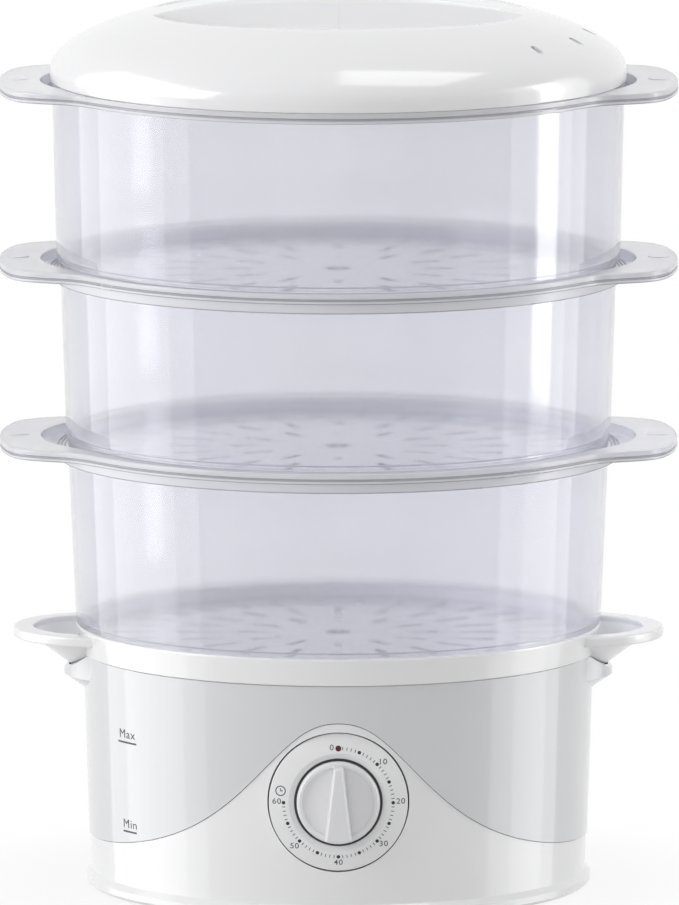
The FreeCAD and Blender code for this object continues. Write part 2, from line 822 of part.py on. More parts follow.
def make_mainspring():
    """Flat spiral spring around the shaft."""
    start_r = shaft_r + spring_play
    end_r = cam_r + spring_spread
    steps = spring_turns * 12
    curves = []
    for extra in (0, spring_leaf):
        curve = Part.BSplineCurve()
        places = []
        for i in range(steps + 1):
            r = start_r + (end_r - start_r) * i / steps + extra
            x, y = polar(r, 360 * spring_turns * i / steps)
            places.append(Vector(x, y, case_back + spring_back_gap))
        curve.interpolate(places)
        curves.append(curve)
    ends = [Part.makeLine(curves[0].StartPoint, curves[1].StartPoint),
            Part.makeLine(curves[0].EndPoint, curves[1].EndPoint)]
    edges = Part.sortEdges([curves[0].toShape(), curves[1].toShape()] + ends)[0]
    return to_front(Part.Face(Part.Wire(edges)).extrude(Vector(0, 0, spring_h)))


def make_contacts():
    blades = []
    low = tab_z - tab_t / 2
    high = tab_z + tab_t / 2
    root = -case_r + tab_root
    for side in (-1, 1):
        x = side * tab_x
        end = x - side * contact_reach
        tab = block(x - tab_w / 2, x + tab_w / 2, -case_r - tab_reach, root, low, high)
        arm = block(min(end, x), max(end, x), root - tab_t, root, low, high)
        blades.append(tab.fuse(arm))
    return to_front(Part.makeCompound(blades))


def make_bell():
    front = case_back - bell_gap
    back = front - bell_depth
    inner_r = bell_r - bell_wall
    bevel = bell_bevel + bell_wall * 0.4
    bell = revolve([(0, back), (bell_r - bell_bevel, back), (bell_r, back + bell_bevel),
                    (bell_r, front), (inner_r, front), (inner_r, back + bevel),
                    (bell_r - bevel, back + bell_wall), (0, back + bell_wall)])
    stem_foot = front - bell_wall
    stem = tube(bell_post_r, journal_r + shaft_hole_clear / 2, stem_foot, case_back)
    post = cylinder(bell_post_r, back, stem_foot)
    return to_front(fuse_all([bell, stem, post]))


# ---- electrics -----------------------------------------------------------------------------
def make_block():
    length, depth, height = block_size
    foot = cover_z + cover_t
    top = foot + height
    body = block(-length / 2, length / 2, block_y, block_y + depth, foot, top)
    for x in (-length / 3, 0, length / 3):
        body = body.cut(cylinder(block_bore_r, top - block_bore_depth, top + cut, x,
                                 block_y + depth / 2))
    return body


def make_bushing():
    outside_y = housing_r(bushing_z) - seam_step
    inside_y = outside_y - shell_wall - bushing_collar_gap

    def along(radius, y0, y1):
        return Part.makeCylinder(radius, y1 - y0, Vector(0, y0, bushing_z), Vector(0, 1, 0))

    tail_y = inside_y - bushing_collar_t - bushing_tail
    tip_y = outside_y + bushing_proud
    body = fuse_all([along(bushing_r, tail_y, tip_y),
                     along(bushing_head_r, outside_y + bushing_play, tip_y),
                     along(bushing_collar_r, inside_y - bushing_collar_t, inside_y)])
    return body.cut(along(bushing_bore_r, tail_y - cut, tip_y + cut))


def make_wire(points, bend_r):
    """Round lead along straight runs joined by tangent arcs."""
    corners = [Vector(*p) for p in points]
    edges = []
    start = corners[0]
    for before, corner, after in zip(corners, corners[1:], corners[2:]):
        back = (before - corner).normalize()
        ahead = (after - corner).normalize()
        half = back.getAngle(ahead) / 2
        trim = bend_r / math.tan(half)
        first = corner + back * trim
        last = corner + ahead * trim
        centre = corner + (back + ahead).normalize() * (bend_r / math.sin(half))
        middle = centre + (corner - centre).normalize() * bend_r
        edges.append(Part.makeLine(start, first))
        edges.append(Part.Arc(first, middle, last).toShape())
        start = last
    edges.append(Part.makeLine(start, corners[-1]))
    profile = Part.Wire(Part.makeCircle(wire_r, corners[0], corners[1] - corners[0]))
    return Part.Wire(edges).makePipeShell([profile], True, False)


def make_wires():
    tab_y = -tab_z
    tab_end = dial_z - case_r - tab_reach - wire_gap
    leg_end = tube_leg_end_z - wire_gap
    low = cover_z + cover_t + wire_low
    legs = tube_leg_places()
    entry = block_y - wire_gap
    live = [(-8, entry, low + 2), (-8, entry - 8, low + 2), (-52, 20, low + 2),
            (-52, -62, low + 2), (-tab_x, tab_y, low + 2), (-tab_x, tab_y, tab_end)]
    feed = [(tab_x, tab_y, tab_end), (tab_x, tab_y, low + 3), (legs[1][0], legs[1][1], low + 3),
            (legs[1][0], legs[1][1], leg_end)]
    neutral = [(legs[0][0], legs[0][1], leg_end), (legs[0][0], legs[0][1], low),
               (6, 34, low), (6, entry, low)]
    routes = {"wire_live": live, "wire_timer_feed": feed, "wire_neutral": neutral}
    return {name: make_wire(points, wire_bend_r) for name, points in routes.items()}


# ---- steam ring and drip tray --------------------------------------------------------------
def make_steam_ring():
    skirt_z = tank_floor_z + ring_skirt_h
    ring = revolve([(ring_foot_r, tank_floor_z), (ring_foot_r, skirt_z),
                    (ring_top_r, ring_top_z), (ring_top_r - ring_wall, ring_top_z),
                    (ring_foot_r - ring_wall, skirt_z), (ring_foot_r - ring_wall, tank_floor_z)])
    half = ring_notch_w / 2
    for i in range(ring_notch_count):
        notch = block(ring_foot_r - ring_notch_inset, ring_foot_r + cut, -half, half,
                      tank_floor_z - cut, tank_floor_z + ring_notch_h)
        notch.rotate(Vector(0, 0, 0), Vector(0, 0, 1), 45 + i * 360 / ring_notch_count)
        ring = ring.cut(notch)
    return ring


def make_drip_tray():
    rest_z = housing_top_z
    ledge_top = rest_z + tray_ledge_t
    floor_top = basin_under_z + basin_floor_t
    chimney_top_z = basin_under_z + chimney_h
    cap_under_z = chimney_top_z + cap_slot_h
    spout_end_z = rest_z - spout_drop
    outline = [
        (collar_foot_r, rest_z), (collar_top_r, collar_top_z),
        (collar_inner_r + collar_lean, collar_top_z), (collar_inner_r, ledge_top),
        (basin_r - basin_wall, ledge_top), (basin_r - basin_wall, floor_top),
        (chimney_r, floor_top), (chimney_r, chimney_top_z),
        (chimney_r - chimney_wall, chimney_top_z), (chimney_r - chimney_wall, basin_under_z),
        (basin_r, basin_under_z), (basin_r, rest_z),
    ]
    tray = revolve(outline)
    tray = tray.fuse(cylinder(cap_r, cap_under_z, cap_under_z + cap_t))
    for i in range(cap_ribs):
        x, y = polar(chimney_r - cap_rib_inset, i * 360 / cap_ribs)
        tray = tray.fuse(cylinder(cap_rib_r, chimney_top_z - cap_rib_root, cap_under_z + cut,
                                  x, y))
    inside = cylinder(basin_r - scoop_root, basin_under_z - long_cut, rest_z + cut)
    inside = inside.fuse(cylinder(collar_inner_r + collar_lean * 1.5, rest_z + cut,
                                  collar_top_z + long_cut))
    keep = cylinder(basin_r, basin_under_z - long_cut, rest_z)
    keep = keep.fuse(cone(collar_foot_r, rest_z, collar_top_r, collar_top_z))
    for side in (-1, 1):
        x = side * scoop_centre_x
        solid = fuse_all([cylinder(scoop_r, scoop_top_z - scoop_lip_t, scoop_top_z, x),
                          cone(chute_foot_r, chute_foot_z, chute_top_r, chute_top_z, x),
                          cylinder(chute_foot_r, spout_end_z, chute_foot_z, x)])
        slope = (chute_top_r - chute_foot_r) / (chute_top_z - chute_foot_z)
        mouth_z = chute_top_z + (scoop_pocket_r - chute_top_r + scoop_wall * 1.4) / slope
        throat_r = chute_foot_r - scoop_wall * 1.2
        hollow = fuse_all([cone(throat_r, chute_foot_z, scoop_pocket_r, mouth_z, x),
                           cylinder(scoop_pocket_r, mouth_z, scoop_top_z + long_cut, x),
                           cylinder(throat_r, spout_end_z - cut, chute_foot_z, x)])
        tray = tray.fuse(solid.cut(inside).cut(hollow.cut(keep)))
    return tray


# ---- baskets and lid -----------------------------------------------------------------------
def ear_outline_r(degrees):
    """Radius of the flange in plan: round, with an ear to each side."""
    turn = abs((degrees + 90) % 180 - 90)
    return flange_r + ear_reach / (1 + (turn / ear_half_angle) ** ear_power)


def flange_plate(z0, z1):
    steps = 120
    places = []
    for i in range(steps):
        angle = 360 * i / steps
        x, y = polar(ear_outline_r(angle), angle)
        places.append(Vector(x, y, z0))
    curve = Part.BSplineCurve()
    curve.interpolate(places, PeriodicFlag=True)
    return Part.Face(Part.Wire(curve.toShape())).extrude(Vector(0, 0, z1 - z0))


def basket_levels():
    """Per basket: foot height, rim height, radii, skirt depth and the spigot's radius."""
    levels = {}
    foot = collar_top_z
    mouth = collar_inner_r
    top = collar_top_z + first_basket_h
    rim_r = collar_top_r
    for name, (step, flare, skirt) in basket_steps.items():
        foot_r = rim_r + step
        rim_r = foot_r + flare
        levels[name] = (foot, top, foot_r, rim_r, skirt, mouth - spigot_gap)
        slope = flare / (top - foot)
        mouth = rim_r - basket_wall - slope * spigot_h
        foot = top
        top += basket_pitch
    return levels


levels = basket_levels()
flange_r = levels["top"][3] + flange_overhang
lid_seat_z = levels["top"][1]
recess_r = flange_r - recess_inset


def make_basket(foot, top, foot_r, rim_r, skirt, spigot_r):
    low = foot - spigot_h
    under = top - flange_t
    skirt_in = min(rim_r + skirt_gap_max, flange_r - skirt_wall - skirt_flange_inset)
    skirt_in = max(rim_r + skirt_gap_min, skirt_in)
    inner = spigot_r - basket_wall
    outline = [
        (spigot_r, low), (spigot_r, foot), (foot_r, foot), (rim_r, under),
        (rim_r, top), (rim_r - basket_wall, top), (foot_r - basket_wall, foot + basket_wall),
        (inner, foot + basket_wall), (inner, low + floor_lip_t),
        (inner - floor_lip, low + floor_lip_t), (inner - floor_lip, low),
    ]
    basket = revolve(outline)
    bite_r = rim_r - flange_bite
    plate = flange_plate(under, top).cut(cylinder(bite_r, under - cut, top + cut))
    basket = basket.fuse(plate)
    if skirt_in + skirt_wall < flange_r and skirt > flange_t + 2:
        basket = basket.fuse(tube(skirt_in + skirt_wall, skirt_in, top - skirt, under + cut))
    for side in (-1, 1):
        x = side * (flange_r + ear_pocket_reach - ear_pocket_r)
        floor = top - ear_pocket_depth
        pan = cylinder(ear_pocket_r + ear_pan_wall, floor - ear_pan_wall, top, x)
        pan = pan.cut(cylinder(bite_r, floor - ear_pocket_depth, top + cut))
        pocket = cylinder(ear_pocket_r, floor, top + cut, x)
        pocket = pocket.cut(cylinder(rim_r, floor - cut, top + long_cut))
        basket = basket.fuse(pan).cut(pocket)
    return basket


def make_basket_floor(foot, spigot_r):
    low = foot - spigot_h + floor_lip_t
    radius = spigot_r - basket_wall - floor_edge_gap
    floor = cylinder(radius, low, low + floor_t)
    low_cut = low - cut
    high_cut = low + floor_t + cut
    slots = [cylinder(floor_hub_r, low_cut, high_cut)]
    for inset, length, count in floor_rings:
        ring_r = radius - inset
        for i in range(count):
            slot = block(ring_r, ring_r + length, -floor_slot_w / 2, floor_slot_w / 2,
                         low_cut, high_cut)
            slot.rotate(Vector(0, 0, 0), Vector(0, 0, 1), 360 * i / count)
            slots.append(slot)
    return floor.cut(Part.makeCompound(slots))


def dome(radius, rise, seat_z):
    """Solid under an elliptical dome."""
    centre = Vector(0, 0, seat_z)
    side = Vector(radius, 0, seat_z)
    top = Vector(0, 0, seat_z + rise)
    ellipse = Part.Ellipse(side, top, centre)
    arc = Part.ArcOfEllipse(ellipse, 0, math.pi / 2).toBSpline().toShape()
    outline = Part.Wire([Part.makeLine(centre, side), arc, Part.makeLine(top, centre)])
    return Part.Face(outline).revolve(Vector(0, 0, 0), Vector(0, 0, 1), 360)


def recess(grow, z0, z1):
    """The two half moons that leave a grip bar standing across the middle of the lid."""
    moons = []
    for side in (-1, 1):
        tip_x = recess_r + long_cut
        moon = cylinder(recess_r + grow, z0, z1, 0, -side * recess_centre_y)
        steps = 12
        xs = [tip_x * (2 * i / steps - 1) for i in range(steps + 1)]
        edge = []
        for x in xs:
            half = grip_half_mid + (grip_half_end - grip_half_mid) * (x / recess_r) ** 2
            edge.append(Vector(x, side * (half - grow), z0))
        curve = Part.BSplineCurve()
        curve.interpolate(edge)
        far = side * (recess_r + long_cut * 2)
        corners = [edge[-1], Vector(tip_x, far, z0), Vector(-tip_x, far, z0), edge[0]]
        sides = [Part.makeLine(a, b) for a, b in zip(corners, corners[1:])]
        half_plane = Part.Face(Part.Wire([curve.toShape()] + sides)).extrude(Vector(0, 0, z1 - z0))
        moons.append(moon.common(half_plane))
    return moons


def make_lid():
    seat_z = lid_seat_z
    side_top = seat_z + lid_side_h
    lip_r = levels["top"][3] - basket_wall - lid_lip_gap
    recess_floor_z = seat_z + recess_floor_h
    vent_circle_r = flange_r - vent_inset
    outer = cylinder(flange_r, seat_z, side_top).fuse(dome(flange_r, lid_rise, side_top))
    inner = cylinder(flange_r - lid_wall, seat_z - cut, side_top)
    inner = inner.fuse(dome(flange_r - lid_wall, lid_rise - lid_wall, side_top))
    lid = outer.cut(inner)
    top = side_top + lid_rise + cut
    pans = [moon.common(outer) for moon in recess(lid_wall, recess_floor_z - lid_wall, top)]
    for pan in pans:
        lid = lid.fuse(pan)
    for moon in recess(0, recess_floor_z, top):
        lid = lid.cut(moon)
    end_r = vent_width / 2
    vent_in = vent_circle_r - vent_length / 2 + end_r
    vent_out = vent_circle_r + vent_length / 2 - end_r
    vent_z = seat_z + vent_foot_h
    for angle in vent_angles:
        slot = fuse_all([block(vent_in, vent_out, -end_r, end_r, vent_z, top),
                         cylinder(end_r, vent_z, top, vent_in),
                         cylinder(end_r, vent_z, top, vent_out)])
        slot.rotate(Vector(0, 0, 0), Vector(0, 0, 1), angle)
        lid = lid.cut(slot)
    lip = tube(lip_r, lip_r - lid_lip_t, seat_z - lid_lip_h, side_top)
    shelf = tube(flange_r - lid_shelf_inset, lip_r - lid_lip_t, side_top - lid_shelf_t, side_top)
    return fuse_all([lid, lip, shelf])


def main():
    os.makedirs("parts", exist_ok=True)
    save("water_tank", make_tank())
    save("base_apron", make_apron())
    save("bottom_cover", make_bottom_cover())
    save("rubber_feet", make_feet())
    save("cover_screws", make_cover_screws())
    save("element_plate", make_element_plate())
    save("element_seal", make_element_seal())
    save("element_clamp_ring", make_element_clamp())
    save("element_screws", make_element_screws())
    save("heating_tube", make_element_tube())
    save("thermostat", make_thermostat())
    save("thermal_fuse", make_thermal_fuse())
    save("terminal_block", make_block())
    save("cord_bushing", make_bushing())
    for name, wire in make_wires().items():
        save(name, wire)
    save("dial_plate", make_dial_plate())
    save("timer_knob", make_knob())
    save("timer_shaft", make_shaft())
    save("timer_case", make_case())
    save("timer_case_cover", make_case_cover())
    save("timer_screws", make_timer_screws())
    save("timer_main_wheel", make_main_wheel())
    save("timer_pinion", make_pinion())
    save("timer_cam", make_cam())
    save("timer_mainspring", make_mainspring())
    save("timer_contacts", make_contacts())
    save("timer_bell", make_bell())
    save("steam_ring", make_steam_ring())
    save("drip_tray", make_drip_tray())
    for name, (foot, top, foot_r, rim_r, skirt, spigot_r) in levels.items():
        save("basket_" + name, make_basket(foot, top, foot_r, rim_r, skirt, spigot_r))
        save("basket_floor_" + name, make_basket_floor(foot, spigot_r))
    save("lid", make_lid())


main()
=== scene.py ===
import math

import bmesh
import bpy
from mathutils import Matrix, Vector
from mathutils.geometry import delaunay_2d_cdt


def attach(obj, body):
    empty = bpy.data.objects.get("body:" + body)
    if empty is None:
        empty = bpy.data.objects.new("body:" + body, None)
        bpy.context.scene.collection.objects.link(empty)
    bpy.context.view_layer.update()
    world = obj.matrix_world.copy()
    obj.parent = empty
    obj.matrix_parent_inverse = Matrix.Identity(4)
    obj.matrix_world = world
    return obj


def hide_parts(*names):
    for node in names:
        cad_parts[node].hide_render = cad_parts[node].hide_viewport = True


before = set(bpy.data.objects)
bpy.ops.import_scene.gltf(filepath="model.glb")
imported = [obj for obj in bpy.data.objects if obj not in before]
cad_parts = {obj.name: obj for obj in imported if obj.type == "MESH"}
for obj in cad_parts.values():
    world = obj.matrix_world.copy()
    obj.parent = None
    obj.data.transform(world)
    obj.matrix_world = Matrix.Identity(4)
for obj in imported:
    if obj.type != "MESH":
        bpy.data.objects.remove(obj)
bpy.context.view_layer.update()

scene = bpy.context.scene
mm = 0.001
print("frame loaded:", len(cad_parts), "nodes")

# sizes are in millimetres up to the studio, and become metres where a mesh is made


def easeBetween(low, high, value):
    share = min(max((value - low) / (high - low), 0.0), 1.0)
    return share * share * (3 - 2 * share)


# a rounding takes at most a share of the side next to it
cornerCare = {"coarse": 2, "fine": 4, "fineFrom": 0.45, "share": 0.45, "tooShort": 1e-5}


def roundCorners(corners):
    # corners are (radius, height, rounding) of a closed outline
    outline = []
    care, total = cornerCare, len(corners)
    for i, (r, z, rounding) in enumerate(corners):
        here = Vector((r, z))
        if rounding <= 0:
            outline.append(here)
            continue
        steps = care["coarse" if rounding < care["fineFrom"] else "fine"]
        back = Vector(corners[i - 1][:2]) - here
        ahead = Vector(corners[(i + 1) % total][:2]) - here
        if min(back.length, ahead.length) < care["tooShort"]:
            outline += [here.copy() for _ in range(steps + 1)]
            continue
        half = back.angle(ahead) / 2
        reach = min(rounding / max(math.tan(half), 1e-6),
                    care["share"] * back.length, care["share"] * ahead.length)
        start = back.normalized() * reach
        end = ahead.normalized() * reach
        for s in range(steps + 1):
            t = s / steps
            outline.append(here + start * (1 - t) ** 2 + end * t * t)
    return outline


def lathe(cornersAt, count, centre=(0.0, 0.0)):
    # cornersAt is an outline, or a function of the angle that gives one
    verts, faces = [], []
    for i in range(count):
        angle = 2 * math.pi * i / count
        corners = cornersAt(angle) if callable(cornersAt) else cornersAt
        outline = roundCorners(corners)
        size = len(outline)
        for r, z in outline:
            verts.append((centre[0] + r * math.cos(angle), centre[1] + r * math.sin(angle), z))
    for i in range(count):
        a, b = i * size, (i + 1) % count * size
        for j in range(size):
            k = (j + 1) % size
            faces.append((a + j, b + j, b + k, a + k))
    return verts, faces


def ringPoints(r, count, shift=0.0):
    turns = [2 * math.pi * (i + shift) / count for i in range(count)]
    return [(r * math.cos(a), r * math.sin(a)) for a in turns]


def loftLoops(loops):
    # stacked closed loops with the same number of points, capped at both ends
    size = len(loops[0])
    last = (len(loops) - 1) * size
    verts = [p for loop in loops for p in loop]
    faces = [tuple(range(size)), tuple(last + i for i in reversed(range(size)))]
    for n in range(len(loops) - 1):
        for i in range(size):
            k = (i + 1) % size
            faces.append((n * size + i, n * size + k, (n + 1) * size + k, (n + 1) * size + i))
    return verts, faces


def tubeAlong(path, radius, sides=8):
    loops = []
    points = [Vector(p) for p in path]
    for i, point in enumerate(points):
        along = points[min(i + 1, len(points) - 1)] - points[max(i - 1, 0)]
        along.normalize()
        across = along.cross(Vector((0, 0, 1))).normalized()
        up = across.cross(along)
        loops.append([tuple(point + (across * x + up * y) * radius)
                      for x, y in ringPoints(1.0, sides)])
    return loftLoops(loops)


def joined(*parts):
    verts, faces = [], []
    for someVerts, someFaces in parts:
        base = len(verts)
        verts += list(someVerts)
        faces += [tuple(base + i for i in face) for face in someFaces]
    return verts, faces


def moved(part, change):
    verts, faces = part
    return [change(*v) for v in verts], faces


meshCare = {"merge": 2e-6, "flat": 1e-7, "sharpAngle": 34}


def makeMesh(name, part, sharpAngle=meshCare["sharpAngle"]):
    verts, faces = part
    mesh = bpy.data.meshes.new(name)
    mesh.from_pydata([(x * mm, y * mm, z * mm) for x, y, z in verts], [], faces)
    shape = bmesh.new()
    shape.from_mesh(mesh)
    bmesh.ops.remove_doubles(shape, verts=shape.verts, dist=meshCare["merge"])
    bmesh.ops.dissolve_degenerate(shape, dist=meshCare["flat"], edges=shape.edges)
    bmesh.ops.recalc_face_normals(shape, faces=shape.faces)
    shape.to_mesh(mesh)
    shape.free()
    mesh.shade_smooth()
    mesh.set_sharp_from_angle(angle=math.radians(sharpAngle))
    return mesh


def placePiece(name, mesh, body, slotName, standsFor=(), material=None, evenShading=True):
    piece = bpy.data.objects.new(name, mesh)
    scene.collection.objects.link(piece)
    mesh.materials.clear()
    mesh.materials.append(material or materials[slotName])
    if evenShading:
        even = piece.modifiers.new("evenShading", "WEIGHTED_NORMAL")
        even.keep_sharp = True
    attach(piece, body)
    if standsFor:
        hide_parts(*standsFor)


def cutAway(part, tool):
    # what is left of one closed shape after another is taken out of it
    bodies = []
    for shape in (part, tool):
        thing = bpy.data.objects.new("cutting", makeMesh("cutting", shape))
        scene.collection.objects.link(thing)
        bodies.append(thing)
    cutter = bodies[0].modifiers.new("cut", "BOOLEAN")
    cutter.operation = "DIFFERENCE"
    cutter.solver = "EXACT"
    cutter.object = bodies[1]
    graph = bpy.context.evaluated_depsgraph_get()
    done = bpy.data.meshes.new_from_object(bodies[0].evaluated_get(graph))
    verts = [tuple(v.co / mm) for v in done.vertices]
    faces = [tuple(p.vertices) for p in done.polygons]
    for thing in bodies:
        bpy.data.objects.remove(thing)
    return verts, faces


def setInputs(node, values):
    for label, value in values.items():
        node.inputs[label].default_value = value


def addNode(nodes, kind, values=None):
    node = nodes.new("ShaderNode" + kind)
    setInputs(node, values or {})
    return node


def connect(links, *pairs):
    for start, end in pairs:
        links.new(start, end)


def combine(nodes, links, operation, one, two):
    node = addNode(nodes, "Math")
    node.operation = operation
    connect(links, (one, node.inputs[0]), (two, node.inputs[1]))
    return node.outputs[0]


def blend(nodes, links, factor, one, two):
    # from shader one, at factor 0, to shader two
    node = addNode(nodes, "MixShader")
    connect(links, (factor, node.inputs["Fac"]), (one, node.inputs[1]), (two, node.inputs[2]))
    return node.outputs["Shader"]


def newGroup(name, inputs, outputs):
    group = bpy.data.node_groups.new(name, "ShaderNodeTree")
    for label, value in inputs.items():
        socket = group.interface.new_socket(name=label, in_out="INPUT",
                                            socket_type="NodeSocketFloat")
        socket.default_value = value
    for label in outputs:
        group.interface.new_socket(name=label, in_out="OUTPUT", socket_type="NodeSocketFloat")
    return group, group.nodes.new("NodeGroupInput"), group.nodes.new("NodeGroupOutput")


def spreadRoughness(group, given, result, mask, span):
    # between the two given values, as the mask says
    spread = addNode(group.nodes, "MapRange", span)
    connect(group.links, (mask, spread.inputs["Value"]),
            (given.outputs["Rough Low"], spread.inputs["To Min"]),
            (given.outputs["Rough High"], spread.inputs["To Max"]),
            (spread.outputs["Result"], result.inputs["Roughness"]))


skinLook = {
    "inputs": {"Flow Size": 14.0, "Tooth Size": 900.0, "Rough Low": 0.2, "Rough High": 0.3},
    "flow": {"Detail": 3.0, "Roughness": 0.45}, "tooth": {"Detail": 2.0},
    "rub": {"Scale": 26.0, "Detail": 1.5}, "rubRange": {"From Min": 0.2, "From Max": 0.8},
}
metalLook = {
    "inputs": {"Line Size": 2200.0, "Rough Low": 0.22, "Rough High": 0.42},
    "squeeze": {"Scale": (0.06, 1.0, 1.0)}, "lines": {"Detail": 3.0}, "slow": {"Scale": 60.0},
    "lineRange": {"From Min": 0.25, "From Max": 0.75},
}


def buildMouldedSkin():
    # the skin of a moulded plastic: slow flow tone, a fine tooth and faint rubbed patches
    group, given, result = newGroup("mouldedSkin", skinLook["inputs"],
                                    ("Tone", "Roughness", "Tooth"))
    nodes = group.nodes
    place = addNode(nodes, "TexCoord")
    flow = addNode(nodes, "TexNoise", skinLook["flow"])
    tooth = addNode(nodes, "TexNoise", skinLook["tooth"])
    rub = addNode(nodes, "TexNoise", skinLook["rub"])
    spreadRoughness(group, given, result, rub.outputs["Fac"], skinLook["rubRange"])
    connect(group.links,
            (place.outputs["Object"], flow.inputs["Vector"]),
            (place.outputs["Object"], tooth.inputs["Vector"]),
            (place.outputs["Object"], rub.inputs["Vector"]),
            (given.outputs["Flow Size"], flow.inputs["Scale"]),
            (given.outputs["Tooth Size"], tooth.inputs["Scale"]),
            (flow.outputs["Fac"], result.inputs["Tone"]),
            (tooth.outputs["Fac"], result.inputs["Tooth"]))
    return group


def buildBrushedMetal():
    # fine turned or drawn lines, with a slow change of tone
    group, given, result = newGroup("brushedMetal", metalLook["inputs"],
                                    ("Tone", "Roughness", "Lines"))
    nodes = group.nodes
    place = addNode(nodes, "TexCoord")
    squeeze = addNode(nodes, "Mapping", metalLook["squeeze"])
    lines = addNode(nodes, "TexNoise", metalLook["lines"])
    slow = addNode(nodes, "TexNoise", metalLook["slow"])
    spreadRoughness(group, given, result, lines.outputs["Fac"], metalLook["lineRange"])
    connect(group.links,
            (place.outputs["Object"], squeeze.inputs["Vector"]),
            (squeeze.outputs["Vector"], lines.inputs["Vector"]),
            (given.outputs["Line Size"], lines.inputs["Scale"]),
            (place.outputs["Object"], slow.inputs["Vector"]),
            (slow.outputs["Fac"], result.inputs["Tone"]),
            (lines.outputs["Fac"], result.inputs["Lines"]))
    return group


mouldedSkin = buildMouldedSkin()
brushedMetal = buildBrushedMetal()

finishes = {
    "white_plastic": {"light": (0.88, 0.88, 0.885), "dark": (0.835, 0.835, 0.843),
                      "rough": (0.29, 0.35), "bump": 0.02, "coat": 0.75},
    "tank_plastic": {"light": (0.7, 0.705, 0.715), "dark": (0.65, 0.655, 0.67),
                     "rough": (0.29, 0.36), "bump": 0.02, "coat": 0.8},
    "knob_plastic": {"light": (0.83, 0.83, 0.84), "dark": (0.78, 0.78, 0.79),
                     "rough": (0.3, 0.38), "bump": 0.05, "coat": 0.1},
    "lid_plastic": {"light": (0.88, 0.88, 0.89), "dark": (0.84, 0.84, 0.852),
                    "rough": (0.14, 0.2), "bump": 0.01, "coat": 0.5},
    "grey_plastic": {"light": (0.42, 0.42, 0.43), "dark": (0.36, 0.36, 0.37),
                     "rough": (0.48, 0.6), "bump": 0.14, "coat": 0.0},
    "black_plastic": {"light": (0.035, 0.035, 0.036), "dark": (0.02, 0.02, 0.021),
                      "rough": (0.42, 0.55), "bump": 0.12, "coat": 0.0},
    "rubber": {"light": (0.05, 0.05, 0.052), "dark": (0.03, 0.03, 0.031),
               "rough": (0.7, 0.85), "bump": 0.2, "coat": 0.0},
    "silicone": {"light": (0.58, 0.16, 0.08), "dark": (0.48, 0.12, 0.06),
                 "rough": (0.5, 0.62), "bump": 0.08, "coat": 0.0},
    "wire_brown": {"light": (0.1, 0.035, 0.015), "dark": (0.07, 0.025, 0.01),
                   "rough": (0.35, 0.45), "bump": 0.03, "coat": 0.0},
    "wire_blue": {"light": (0.02, 0.07, 0.3), "dark": (0.015, 0.05, 0.22),
                  "rough": (0.35, 0.45), "bump": 0.03, "coat": 0.0},
}
metals = {
    "stainless": {"light": (0.62, 0.61, 0.6), "dark": (0.5, 0.49, 0.48),
                  "rough": (0.2, 0.38), "bump": 0.12},
    "zinc_steel": {"light": (0.6, 0.62, 0.64), "dark": (0.46, 0.47, 0.48),
                   "rough": (0.28, 0.46), "bump": 0.12},
    "brass": {"light": (0.72, 0.5, 0.19), "dark": (0.58, 0.39, 0.13),
              "rough": (0.24, 0.4), "bump": 0.12},
}
clearFinishes = {
    "wall": {"light": (0.88, 0.88, 0.915), "dark": (0.84, 0.84, 0.89), "rough": (0.05, 0.09),
             "bump": 0.0015, "ior": 1.45, "clearness": 0.86},
    "rim": {"light": (0.84, 0.84, 0.865), "dark": (0.79, 0.79, 0.82), "rough": (0.16, 0.24),
            "bump": 0.03, "ior": 1.42, "clearness": 0.38},
    # painted shade: a darker, less clear tone for fine rim edges, standing in for the shade that
    # refraction gives
    "edge": {"light": (0.5, 0.5, 0.53), "dark": (0.42, 0.42, 0.45), "rough": (0.2, 0.3),
             "bump": 0.03, "ior": 1.42, "clearness": 0.3},
}
inks = {
    "black": {"light": (0.02, 0.02, 0.022), "dark": (0.012, 0.012, 0.013)},
    "grey": {"light": (0.11, 0.11, 0.12), "dark": (0.08, 0.08, 0.09)},
    "maroon": {"light": (0.085, 0.003, 0.012), "dark": (0.06, 0.002, 0.008)},
}
inkSurface = {"rough": (0.4, 0.5), "bump": 0.03, "coat": 0.0}
sharedLook = {"plasticIor": 1.49, "coatRough": 0.06, "bumpDistance": 0.0002,
              "lightThrough": (0.94, 0.94, 0.96, 1.0)}


def twoTone(nodes, links, mask, light, dark):
    mix = nodes.new("ShaderNodeMix")
    mix.data_type = "RGBA"
    mix.inputs["A"].default_value = (*dark, 1.0)
    mix.inputs["B"].default_value = (*light, 1.0)
    links.new(mask, mix.inputs["Factor"])
    return mix.outputs["Result"]


def startMaterial(name):
    material = bpy.data.materials.new(name)
    material.use_nodes = True
    nodes, links = material.node_tree.nodes, material.node_tree.links
    return material, nodes, links, nodes["Principled BSDF"]


def coveredMaterial(name, look, group, relief):
    # tone, roughness and the bump come from one of the two groups
    material, nodes, links, shader = startMaterial(name)
    cover = addNode(nodes, "Group")
    cover.node_tree = group
    setInputs(cover, {"Rough Low": look["rough"][0], "Rough High": look["rough"][1]})
    bump = addNode(nodes, "Bump", {"Strength": look["bump"],
                                   "Distance": sharedLook["bumpDistance"]})
    colour = twoTone(nodes, links, cover.outputs["Tone"], look["light"], look["dark"])
    connect(links, (colour, shader.inputs["Base Color"]),
            (cover.outputs["Roughness"], shader.inputs["Roughness"]),
            (cover.outputs[relief], bump.inputs["Height"]),
            (bump.outputs["Normal"], shader.inputs["Normal"]))
    return material, nodes, links, shader


def plasticMaterial(name, look):
    material, *_, shader = coveredMaterial(name, look, mouldedSkin, "Tooth")
    setInputs(shader, {"IOR": sharedLook["plasticIor"], "Coat Weight": look["coat"],
                       "Coat Roughness": sharedLook["coatRough"]})
    return material


